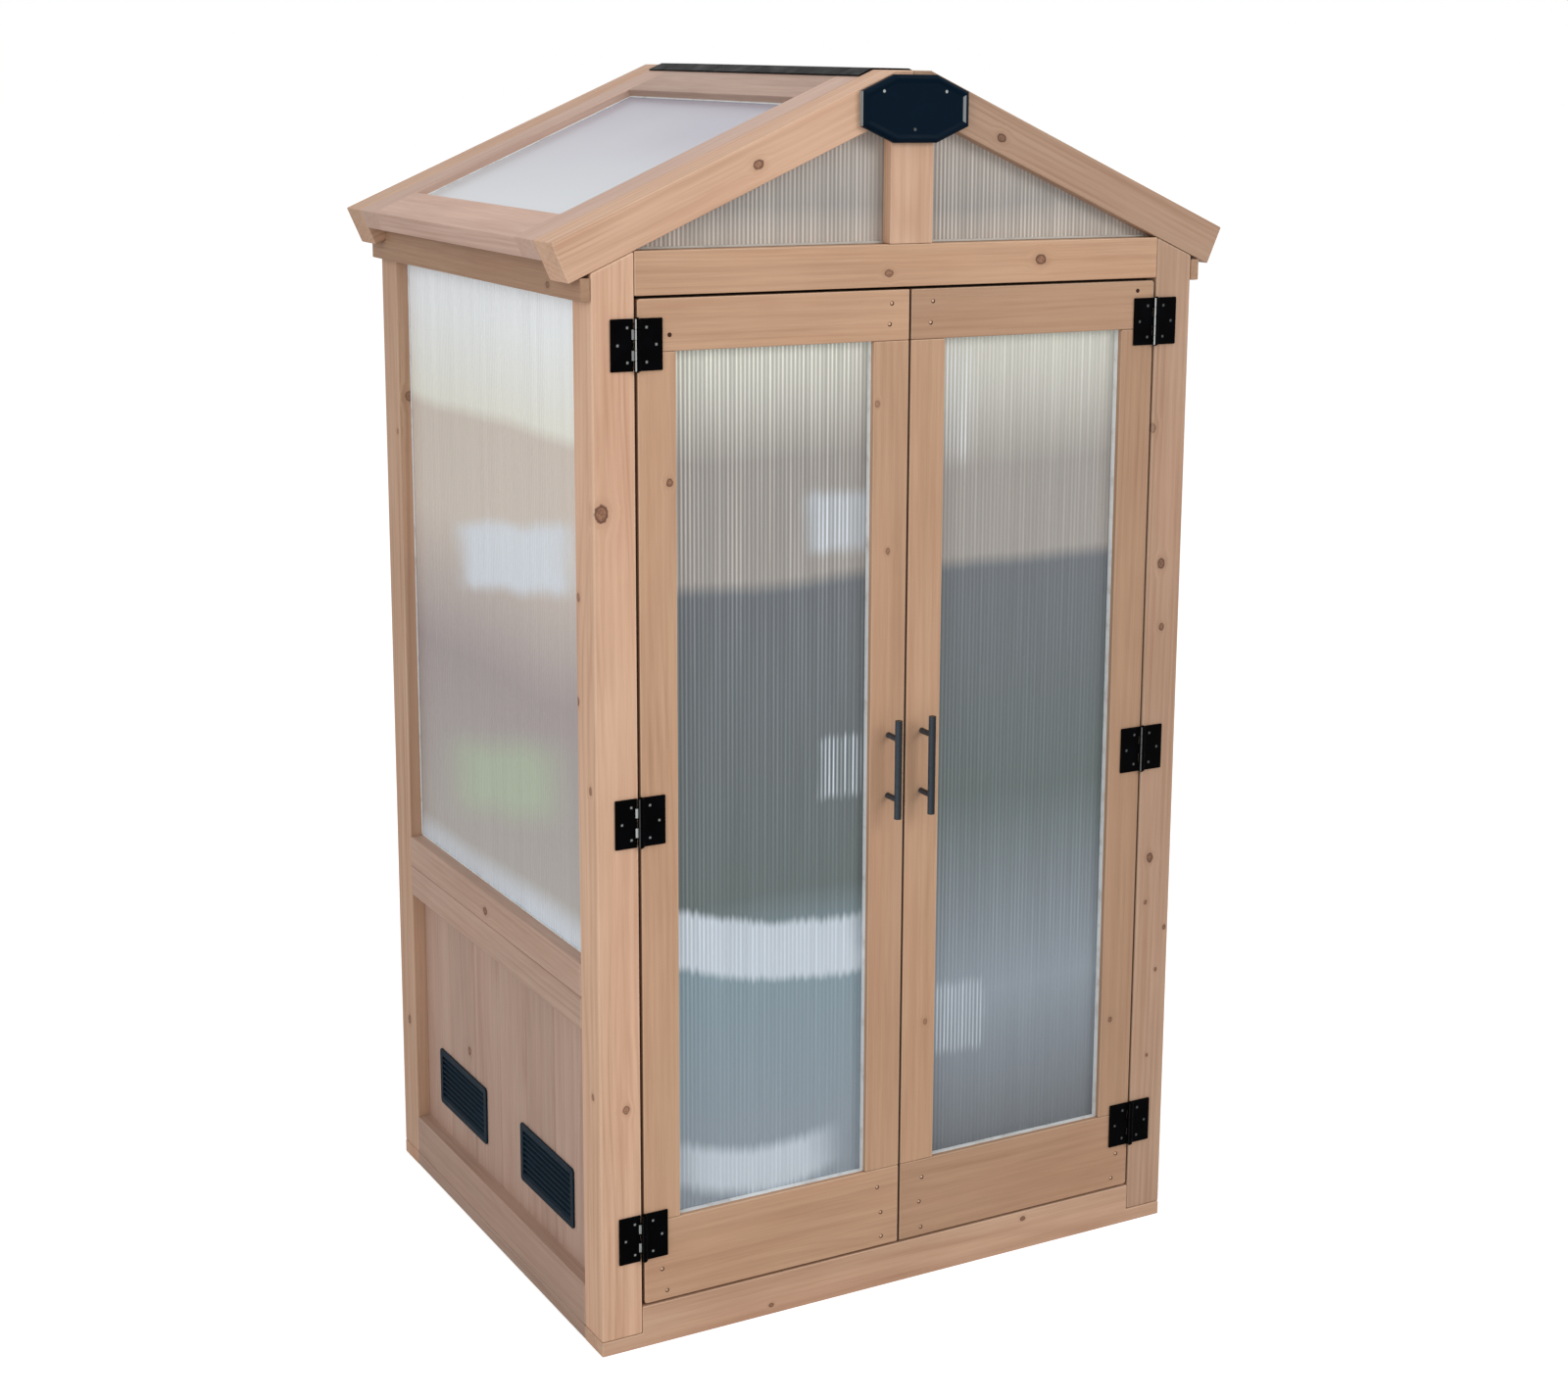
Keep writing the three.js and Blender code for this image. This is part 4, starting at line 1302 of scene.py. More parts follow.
@dataclass
class Walls(Builder):
    """Boards of the lower sides and of the back, and the louvred vents."""

    thickness: float = 0.014
    width: float = 0.1
    notch: float = 0.0022
    least: float = 0.004
    side_z: Range = (0.071, 0.445)
    vent_z: Range = (0.122, 0.209)
    vent_y: dict[str, Range] = field(
        default_factory=lambda: {"front": (-0.2285, -0.0405), "back": (0.0905, 0.2785)}
    )
    vent_flange: float = 0.0025
    vent_border: float = 0.01
    vent_corner: float = 0.006
    collar_wall: float = 0.002
    collar_depth: float = 0.008
    slat: float = 0.0016
    slat_drop: float = 0.005
    slats: int = 8

    def build(self) -> None:
        """Builds the boards and the vents."""
        for side in Side:
            self.build_side_boards(side)
        self.build_back_boards()
        for place in self.vent_y:
            self.build_vent(place)

    def build_boards(
        self, panel: Board, wall: Range, origin: float, shape: Callable[[Range], Object],
        step: float, beat: float,
    ) -> None:
        """Builds a wall of upright boards side by side, as one piece.

        Args:
            panel: Name, grain, first seed and knots of the wall.
            wall: Range that the wall fills.
            origin: A place where two boards meet.
            shape: Makes a board of its range along the wall.
            step: What the seed grows by from board to board.
            beat: Rhythm of the boards' tones.
        """
        first = math.ceil((wall[0] + self.least - origin) / self.width)
        last = math.floor((wall[1] - self.least - origin) / self.width)
        edges = [wall[0], *(origin + self.width * i for i in range(first, last + 1)), wall[1]]
        boards = []
        for index, span in enumerate(zip(edges, edges[1:])):
            board = ease(shape(span), self.notch, 1)
            tone = 0.96 + 0.05 * math.sin(index * beat)
            boards.append(lay_grain(board, panel.along, panel.across, step * index + panel.seed, tone))
        whole = combine(f"{panel.name}_piece", boards)
        self.dress(whole, BOARD_WOOD, Slot.BOARDING, panel.name, board=panel)

    def build_side_boards(self, side: Side) -> None:
        """Builds the upright boards of one side, with holes where the vents go."""
        layout = self.layout
        left = side is Side.LEFT
        x = side.span(layout.wall_face - self.thickness, layout.wall_face)
        margin = self.vent_border - self.collar_wall - 0.0005

        def shape(span: Range) -> Object:
            """Makes one board."""
            board = block("side_board", x, within(span, TOUCH), self.side_z)
            for vent in self.vent_y.values():
                if left and vent[0] < span[1] and vent[1] > span[0]:
                    hole = (within(vent, margin), within(self.vent_z, margin))
                    carve(board, block("vent_hole_tool", (-0.46, -0.40), *hole))
            return board

        knots = (Knot((-0.43, 0.1595, 0.244), 0.0048, 0.9), Knot((-0.43, 0.1775, 0.145), 0.004, 0.8))
        panel = Board(f"{side.label}_boards", ALONG_Z, ALONG_Y, side.value, knots=knots if left else ())
        self.build_boards(panel, within(layout.between_posts, -SEAT), layout.front, shape, 1.7, 2.2)

    def build_back_boards(self) -> None:
        """Builds the upright boards of the back, their tops sawn along the slopes."""
        layout = self.layout
        face = layout.back - layout.wall_recess
        reach = layout.doorway_half + SEAT
        top = layout.roof_peak - (layout.rake_depth - SEAT) / math.cos(layout.slope)

        def shape(span: Range) -> Object:
            """Makes one board."""
            y, z = (face - self.thickness, face), (layout.sill_height - SEAT, top)
            board = block("back_board", within(span, TOUCH), y, z)
            for side in Side:
                saw(board, Vector((0, 0, top)), layout.off_slope(side))
            return board

        self.build_boards(Board("back_boards", ALONG_Z, ALONG_X, 0.4), (-reach, reach), 0.0, shape, 2.9, 1.7)

    def build_vent(self, place: str) -> None:
        """Builds one louvred vent: a flange with a collar behind it and sloping slats."""
        layout = self.layout
        name = f"left_{place}_vent"
        face = -layout.wall_face - layout.seat_gap
        outer, inner = face - self.vent_flange, face + self.collar_depth
        y, z = self.vent_y[place], self.vent_z
        flange = block(f"{name}_piece", (outer, face), y, z)
        round_corners(flange, lambda a, b: abs(a.x - b.x) > 0.001, self.vent_corner)
        wall = self.vent_border - self.collar_wall
        carve(flange, block("collar_tool", (outer + 0.0003, inner), within(y, wall), within(z, wall)), "UNION")
        hole_y, hole_z = within(y, self.vent_border), within(z, self.vent_border)
        carve(flange, block("opening_tool", within((outer, inner), -0.01), hole_y, hole_z))
        ease(flange, 0.0007)
        pitch = (hole_z[1] - hole_z[0]) / self.slats
        foot = hole_z[0] + pitch / 2 - (self.slat_drop + self.slat) / 2
        slat = block("slat_0", (outer + 0.0004, inner), hole_y, (foot, foot + self.slat))
        push(slat, lambda p: p.x > (outer + inner) / 2, ALONG_Z * self.slat_drop)
        ease(slat, 0.0004)
        copies = [copy_of(slat, f"slat_{i}", ALONG_Z * pitch * i) for i in range(1, self.slats)]
        self.dress(combine(f"{name}_piece", [flange, slat, *copies]), VENT_PLASTIC, Slot.VENT, name)


@dataclass
class Roof(Builder):
    """Rakes, eave beams, roof frames, panes of the roof and gable, ridge strip and plate."""

    frame_thickness: float = 0.028
    ridge_rail: float = 0.09
    eave_rail: float = 0.068
    stile: float = 0.061
    past_ridge: float = -0.02
    pane_drop: float = 0.011
    trim: Range = (0.003, 0.0016)
    gable_trim: float = 0.003
    cap_reach: float = 0.052
    cap_thickness: float = 0.002
    eave_board: float = 0.013
    eave_drop: float = 0.005
    plate_size: tuple[float, float, float] = (0.157, 0.0117, 0.086)
    plate_edges: tuple[float, float] = (0.062, 0.044)
    plate_bevel: float = 0.004
    plate_rim: float = 0.0022
    plate_slope: float = 0.0041
    plate_depth: float = 0.0011
    plate_drop: float = 0.005
    seam_half: float = 0.0007
    plate_screws: tuple[tuple[float, float, float], ...] = (
        (-0.0495, 0.022, 0.66), (0.043, 0.022, 0.66), (-0.0035, -0.026, 0.17),
    )
    rake_knots: dict[str, tuple[Knot, ...]] = field(
        default_factory=lambda: {
            "front_left_rake": front_knots((-0.222, 1.555, 0.0055, 0.85)),
            "front_right_rake": front_knots((0.135, 1.587, 0.005, 0.85)),
        }
    )

    @property
    def opening(self) -> tuple[Range, Range]:
        """Ranges of a roof frame's opening: down the slope, and along the ridge."""
        layout = self.layout
        top = layout.ridge_half / math.cos(layout.slope) + self.ridge_rail
        return (top, layout.roof_end - self.eave_rail), within(layout.between_rakes, self.stile)

    def build(self) -> None:
        """Builds every piece of the roof."""
        for side in Side:
            # The right front rake gets a lower tone than the left one: painted shade.
            self.build_rake(side, "front", 0.95 if side is Side.LEFT else 0.62)
            self.build_rake(side, "back", 0.80)
            self.build_eave_beam(side)
            self.build_frame(side)
            self.build_pane(side)
        self.build_gable_pane()
        self.build_ridge_cap()
        self.build_plate()

    def mitre(self, piece: Object, side: Side) -> None:
        """Saws a piece plumb at the middle and flat at the ridge."""
        gap = side.value * self.layout.seat_gap / 2
        saw(piece, Vector((gap, 0, 0)), ALONG_X * -side.value)
        saw(piece, Vector((0, 0, self.layout.ridge_top)), ALONG_Z)

    def build_rake(self, side: Side, place: str, tone: float) -> None:
        """Builds one rake."""
        layout = self.layout
        name = f"{place}_{side.label}_rake"
        down, off = (-0.03, layout.roof_end), (-layout.rake_depth, 0.0)
        rake = slope_block(f"{name}_piece", layout, side, down, layout.post_rows[place], off)
        self.mitre(rake, side)
        ways = (layout.down_slope(side), layout.off_slope(side))
        board = Board(name, *ways, 3.1 + side.value, tone, self.rake_knots.get(name, ()))
        self.finish(rake, board, FRAME_WOOD)

    def build_eave_beam(self, side: Side) -> None:
        """Builds the board outside the posts' heads and the plate behind it."""
        layout = self.layout
        name = f"{side.label}_eave_beam"
        inner = layout.half_width + layout.seat_gap
        outer = inner + self.eave_board
        low_top = layout.seat_line(outer)
        top = layout.roof_peak - outer * math.tan(layout.slope)
        top -= (self.frame_thickness + layout.seat_gap) / math.cos(layout.slope)
        z = (layout.doorway_top - self.eave_drop, low_top)
        board = block(f"{name}_piece", side.span(inner, outer), (layout.front, layout.back), z)
        start, end = layout.between_rakes
        score(board, ALONG_Y, start, end)
        draw_out(board, lambda c, n: n.z > SQUARELY and start < c.y < end, ALONG_Z * (top - low_top))
        # Low tones on the eave board and its plate: painted shade under the eaves.
        lay_grain(ease(board), ALONG_Y, ALONG_Z, 5.1 + side.value, 0.66)
        plate_x = side.span(layout.half_width - 0.04, inner - 0.0004)
        plate = block(f"{name}_plate", plate_x, (start, end), (layout.doorway_top, top))
        lay_grain(ease(plate), ALONG_Y, ALONG_Z, 6.3 + side.value, 0.76)
        beam = combine(f"{name}_piece", [board, plate])
        knots = (Knot((-0.4633, -0.26, 1.405), 0.004, 0.6),) if side is Side.LEFT else ()
        figure = Board(name, ALONG_Y, ALONG_Z, 0.0, knots=knots)
        self.dress(beam, DOOR_WOOD, Slot.TIMBER, name, board=figure)

    def build_frame(self, side: Side) -> None:
        """Builds the frame of one slope: two stiles that run through, and rails between them."""
        layout = self.layout
        name = f"{side.label}_roof_frame"
        start, end = layout.between_rakes
        opening, inside = self.opening
        along = layout.down_slope(side)
        full, between = (self.past_ridge, layout.roof_end), within(inside, TOUCH)
        # The tones differ from part to part by how light falls on them: painted light and shade, the eave rail
        # lightest.
        rows = (
            (full, (start, inside[0] - TOUCH), along, ALONG_Y, 8.0, 0.92),
            (full, (inside[1] + TOUCH, end), along, ALONG_Y, 10.2, 0.88),
            ((self.past_ridge, opening[0]), between, ALONG_Y, along, 9.0, 0.72),
            ((opening[1], layout.roof_end), between, ALONG_Y, along, 12.4, 1.0),
        )
        parts = []
        for index, (down, y, grain, across, seed, tone) in enumerate(rows):
            part = slope_block(f"roof_part_{index}", layout, side, down, y, (-self.frame_thickness, 0.0))
            self.mitre(part, side)
            parts.append(lay_grain(ease(part), grain, across, seed + side.value, tone))
        self.dress(combine(f"{name}_piece", parts), ROOF_WOOD, Slot.TIMBER, name)
        width, rise = self.trim
        off = (-self.pane_drop, -self.pane_drop + rise)
        self.build_trim(
            f"{side.label}_roof_trim",
            border(inside, opening, width),
            lambda y, down: slope_block("trim", layout, side, down, y, off),
            0.0004,
        )

    def build_pane(self, side: Side) -> None:
        """Builds the pane of one slope."""
        name = f"{side.label}_roof_pane"
        down, y = (within(span, -SEAT) for span in self.opening)
        off = (-self.pane_drop - SHEET, -self.pane_drop)
        pane = ease(slope_block(f"{name}_piece", self.layout, side, down, y, off), 0.0008)
        self.dress(pane, ROOF_SHEET, Slot.GLAZING, name)

    def build_gable_pane(self) -> None:
        """Builds the ribbed sheet behind the king post, sawn along both slopes, and its trim."""
        layout = self.layout
        reach = layout.doorway_edge
        foot = layout.lintel_top - SEAT
        peak = layout.seat_line(0) + SEAT / math.cos(layout.slope)
        face = layout.front + layout.wall_recess
        centre = Vector((0, face, (peak + foot) / 2))
        sheet = ribbed_sheet("gable_pane_piece", (reach * 2, peak - foot), centre)
        for side in Side:
            saw(sheet, Vector((0, 0, peak)), layout.off_slope(side))
        self.dress(smooth(sheet), GABLE_SHEET, Slot.GLAZING, "gable_pane")
        low = layout.lintel_top + layout.seat_gap
        for side in Side:
            y, z = (face - self.gable_trim, face - 0.0002), (low, low + self.gable_trim)
            bead = block(f"{side.label}_gable_trim", side.span(0.033, reach - 0.012), y, z)
            self.dress(ease(bead, 0.0006, 2), GREY_TRIM, Slot.GLAZING)

    def build_ridge_cap(self) -> None:
        """Builds the strip folded over the ridge between the rakes."""
        layout = self.layout
        lift = layout.seat_gap
        end = layout.slope_point(Side.RIGHT, self.cap_reach, lift, 0)
        level = layout.ridge_top + lift
        fold = (layout.roof_peak - level + lift / math.cos(layout.slope)) / math.tan(layout.slope)
        start, stop = layout.between_rakes
        deselect()
        bpy.ops.mesh.primitive_plane_add(size=1, location=(0, (start + stop) / 2, level))
        bpy.context.object.scale = (end.x * 2, stop - start, 1)
        cap = settle("ridge_cap_piece")
        score(cap, ALONG_X, -fold, fold)
        push(cap, lambda p: abs(p.x) > fold + 0.001, ALONG_Z * (end.z - level))
        add_modifier(cap, "SOLIDIFY", thickness=self.cap_thickness, offset=1, use_even_offset=True)
        self.dress(ease(cap, 0.0007, 2, 20), STRIP_RUBBER, Slot.STRIP, "ridge_cap")

    def build_plate(self) -> None:
        """Builds the bare eight-sided plate with its bevelled border and three screws."""
        layout = self.layout
        width, depth, height = self.plate_size
        half_width, half_height = width / 2, height / 2
        centre = layout.ridge_top - self.plate_drop - half_height
        rear = layout.front - layout.seat_gap
        front = rear - depth - 0.0003
        x, z = (-half_width, half_width), (centre - half_height, centre + half_height)
        plate = block("gable_plate_piece", x, (front, rear), z)
        top_edge, side_edge = (edge / 2 for edge in self.plate_edges)
        run, rise = half_width - top_edge, half_height - side_edge
        for x in (-1, 1):
            for z in (-1, 1):
                corner = Vector((x * top_edge, 0, centre + z * half_height))
                saw(plate, corner, Vector((x * rise, 0, z * run)).normalized())
        seam = (front + self.plate_bevel + rear) / 2
        score(plate, ALONG_Y, seam - self.seam_half, seam + self.seam_half)

        def on_rim(point: Vector) -> bool:
            """Tells whether a point lies on the outer edge of the front."""
            x, z = abs(point.x), abs(point.z - centre)
            slant = (x - top_edge) * rise + (z - half_height) * run
            at_edge = x > half_width - 0.0002 or z > half_height - 0.0002 or slant > -0.00001
            return point.y < front + TOUCH and at_edge

        def in_middle(at: Vector, normal: Vector) -> bool:
            """Tells whether a face is the flat middle of the front."""
            return normal.y < -SQUARELY and abs(at.z - centre) < 0.006 and abs(at.x) < 0.01

        inset(plate, lambda c, n: n.y < -SQUARELY, self.plate_bevel)
        push(plate, on_rim, ALONG_Y * self.plate_bevel)
        inset(plate, in_middle, self.plate_rim)
        inset(plate, in_middle, self.plate_slope, -self.plate_depth)
        ease(plate, 0.0004, 2, 12)
        slope_start = half_width - self.plate_bevel - self.plate_rim

        def brightness(at: Vector, normal: Vector) -> float:
            """Share of the paler tone, a painted highlight, that is placed on one face of the plate."""
            if normal.x < -0.95 and abs(at.y - seam) > 0.0008:
                return 1.0
            if at.x > slope_start - self.plate_slope and -0.6 < normal.x < -0.15 and normal.y < -0.7:
                return 0.62 * (abs(normal.z) < 0.1)
            return 0.0

        self.dress(wear(plate, brightness), PLATE_PAINT, Slot.PLATE, "gable_plate")
        for index, (x, z, glint) in enumerate(self.plate_screws):
            seat = Vector((x, front + self.plate_depth, centre + z))
            head = screw_head(f"plate_screw_{index}", seat, -ALONG_Y, 0.0021)
            # Painted glint on the front faces of each head.
            wear(head, lambda c, n, glint=glint: glint * (n.y < -SQUARELY))
            self.dress(head, SCREW_STEEL, Slot.PLATE)


def ribbed_sheet(name: str, size: tuple[float, float], at: Vector, turn: float = 0.0) -> Object:
    """Makes an upright ribbed sheet, its ribbed face forward before it is turned.

    Args:
        name: Name of the piece.
        size: Its width and height.
        at: Middle of its ribbed face.
        turn: Turn about the upright.

    Returns:
        The sheet.
    """
    width, height = size
    steps = round(width / RIB_PITCH) * 4
    deselect()
    bpy.ops.mesh.primitive_grid_add(
        x_subdivisions=steps, y_subdivisions=1, size=1, rotation=(math.pi / 2, 0, 0)
    )
    settle(name)
    bpy.context.object.scale = (width, 1, height)
    sheet = settle(name)
    for phase, depth in ((1, 0.0003), (3, 0.0003), (0, 0.0007)):
        push(sheet, lambda p, phase=phase: round((p.x / width + 0.5) * steps) % 4 == phase, ALONG_Y * depth)
    add_modifier(sheet, "SOLIDIFY", thickness=SHEET - 0.0008, offset=-1)
    smooth(sheet)
    sheet.location = at
    sheet.rotation_euler = (0, 0, turn)
    return settle(name)


def screw_head(name: str, seat: Vector, outward: Vector, radius: float) -> Object:
    """Makes a low round screw head with a cross recess.

    Args:
        name: Name of the piece.
        seat: Middle of the surface that it stands on.
        outward: Direction that it faces.
        radius: Radius of the head.

    Returns:
        The head.
    """
    height, reach, slot_width = radius * 0.25, radius * 0.62, radius * 0.2
    head = disc(name, seat + outward * height * 0.4, radius, height, outward, 20)
    ease(head, height * 0.35, 2)
    top = seat + outward * height
    sideways = outward.orthogonal().normalized()
    upright = outward.cross(sideways)
    for way, cross in ((sideways, upright), (upright, sideways)):
        halves = [
            abs(w) * reach + abs(c) * slot_width + abs(o) * height * 0.5
            for w, c, o in zip(way, cross, outward)
        ]
        carve(head, block("recess_tool", *((at - half, at + half) for at, half in zip(top, halves))))
    return head


@dataclass
class SidePanes(Builder):
    """Tall ribbed panes in the upper part of each side."""

    height: Range = (0.52, 1.405)
    trim: Range = (0.0025, 0.0018)

    def build(self) -> None:
        """Builds both panes and their trim."""
        layout = self.layout
        y = within(layout.between_posts, -SEAT)
        size = (y[1] - y[0], self.height[1] - self.height[0])
        width, rise = self.trim
        for side in Side:
            name = f"{side.label}_side_pane"
            centre = Vector((side.value * layout.wall_face, sum(y) / 2, sum(self.height) / 2))
            pane = ribbed_sheet(f"{name}_piece", size, centre, side.value * math.pi / 2)
            self.dress(pane, SIDE_SHEET, Slot.GLAZING, name)
            x = side.span(layout.wall_face, layout.wall_face + rise)
            self.build_trim(
                f"{side.label}_side_trim",
                border(layout.between_posts, within(self.height, SEAT), width),
                lambda wide, tall: block("trim", x, wide, tall),
                0.0004,
            )


@dataclass
class Door(Builder):
    """One door with its pane, lining, pull handle and pins."""

    side: Side
    thickness: float = 0.036
    side_gap: float = 0.0035
    end_gap: float = 0.0035
    meeting_gap: float = 0.003
    stile: float = 0.0525
    top_rail: float = 0.066
    bottom_rail: float = 0.114
    recess: float = 0.016
    corner: float = 0.004
    lining: float = 0.0007
    handle_inset: float = 0.026
    handle_height: float = 0.756
    handle_length: float = 0.136
    handle_radius: float = 0.005
    foot_radius: float = 0.004
    foot_spacing: float = 0.084
    stand_off: float = 0.028
    tones: dict[str, float] = field(default_factory=dict)
    knots: dict[str, tuple[Knot, ...]] = field(default_factory=dict)
    pins: tuple[tuple[float, float], ...] = ()
    holes: tuple[tuple[float, float], ...] = ()

    def __post_init__(self) -> None:
        """Works out the door's planes, as distances from the doorway's middle and heights."""
        layout = self.layout
        self.body = f"{self.side.label}_door"
        self.wide = (self.meeting_gap / 2, layout.doorway_half - self.side_gap)
        self.tall = (layout.sill_height + self.end_gap, layout.doorway_top - self.end_gap)
        self.opening_x = within(self.wide, self.stile)
        self.opening_z = (self.tall[0] + self.bottom_rail, self.tall[1] - self.top_rail)
        self.depth = (layout.front, layout.front + self.thickness)

    def build(self) -> None:
        """Builds the door."""
        self.build_stiles()
        self.build_rails()
        self.build_pane()
        self.build_handle()
        self.build_dots("marks", NAIL, [*self.pins, *self.holes], 0.0030, 0.0003, (0.0, 0.0))
        self.build_dots("fills", PUTTY, self.pins, 0.0019, 0.0005, (-0.0006, 0.0005))

    def finish_part(self, piece: Object, part: str, along: Vector, across: Vector, seed: float) -> None:
        """Finishes a stile or a rail, and paints shade onto the edges that face the frame and the other door.
        """
        name = f"{self.side.label}_{part}"
        board = Board(name, along, across, seed, self.tones[part], self.knots.get(part, ()))
        self.finish(piece, board, DOOR_WOOD, self.body)
        near, far = within(self.wide, 0.0002)
        top = self.tall[1] - 0.0002
        shade(piece, 0.45, lambda p: abs(p.x) < near or abs(p.x) > far or p.z > top)

    def build_stiles(self) -> None:
        """Builds the meeting stile and the hinge stile."""
        z = within(self.opening_z, self.layout.seat_gap)
        rows = (
            ("meeting_stile", self.wide[0], self.opening_x[0]),
            ("hinge_stile", self.opening_x[1], self.wide[1]),
        )
        for index, (part, near, far) in enumerate(rows):
            stile = block(f"{self.side.label}_{part}_piece", self.side.span(near, far), self.depth, z)
            self.finish_part(stile, part, ALONG_Z, ALONG_X, 5.3 * index + 1.9 * self.side.value)

    def build_rails(self) -> None:
        """Builds the rails, each with its outer corner on the hinge side rounded."""
        low, high = self.tall
        rows = (
            ("door_top_rail", (self.opening_z[1], high), high),
            ("door_bottom_rail", (low, self.opening_z[0]), low),
        )
        edge = self.side.value * self.wide[1]
        for index, (part, z, outer) in enumerate(rows):
            rail = block(f"{self.side.label}_{part}_piece", self.side.span(*self.wide), self.depth, z)

            def at_corner(*ends: Vector, outer: float = outer) -> bool:
                """Tells whether an edge is the rail's outer corner."""
                return all(abs(p.x - edge) < TOUCH and abs(p.z - outer) < TOUCH for p in ends)

            round_corners(rail, at_corner, self.corner)
            self.finish_part(rail, part, ALONG_X, ALONG_Z, 3.7 * index + 2.3 * self.side.value + 1)

    def build_pane(self) -> None:
        """Builds the ribbed pane, and the pale lining on the deeper half of the opening's sides."""
        name = f"{self.side.label}_door_pane"
        face = self.layout.front + self.recess
        x, z = within(self.opening_x, -SEAT), within(self.opening_z, -SEAT)
        centre = Vector((self.side.value * sum(x) / 2, face, sum(z) / 2))
        pane = ribbed_sheet(f"{name}_piece", (x[1] - x[0], z[1] - z[0]), centre)
        sheet = LEFT_DOOR_SHEET if self.side is Side.LEFT else RIGHT_DOOR_SHEET
        self.dress(pane, sheet, Slot.GLAZING, name, self.body)
        y = (self.layout.front + self.recess * 0.45, face)
        self.build_trim(
            f"{self.side.label}_door_lining",
            border(self.opening_x, self.opening_z, self.lining),
            lambda wide, tall: block("lining", self.side.span(*wide), y, tall),
            0.0003,
            self.body,
        )

    def build_handle(self) -> None:
        """Builds the pull handle: a bar with chamfered ends on two feet."""
        name = f"{self.side.label}_door_handle"
        x, y = self.side.value * self.handle_inset, self.layout.front - self.stand_off
        centre = Vector((x, y, self.handle_height))
        bar = disc(f"{name}_piece", centre, self.handle_radius, self.handle_length, ALONG_Z, 32)
        length = self.stand_off - self.layout.seat_gap
        for way in (-1, 1):
            at = centre + Vector((0, length / 2, way * self.foot_spacing / 2))
            carve(bar, disc("foot_tool", at, self.foot_radius, length, ALONG_Y, 28), "UNION")
        ease(bar, 0.0009, 3, 35)
        # Painted light: faces turned towards the left front get the paler tint, the far side stays dark.
        lit = Vector((-0.92, -0.38, 0.0))
        wear(bar, lambda c, n: 0.36 * max(0.0, n.dot(lit)) ** 2)
        self.dress(bar, HANDLE_STEEL, Slot.STEEL, name, self.body)

    def build_dots(
        self, word: str, finish: DarkCoating, places: Sequence[tuple[float, float]],
        radius: float, depth: float, shift: tuple[float, float],
    ) -> None:
        """Builds thin discs on the door's face: the dark marks of its pin holes, or their fillings.

        Args:
            word: Word for them in the name.
            finish: What they wear.
            places: X and Z of each pin hole.
            radius: Radius of a disc.
            depth: Its thickness.
            shift: How far it lies from the place.
        """
        dots = []
        for x, z in places:
            at = Vector((x + shift[0], self.layout.front, z + shift[1]))
            dots.append(ease(disc("dot", at, radius, depth, ALONG_Y, 18), 0.0001, 1))
        whole = combine(f"{self.side.label}_door_pin_{word}", dots)
        self.dress(whole, finish, Slot.TIMBER, body=self.body)


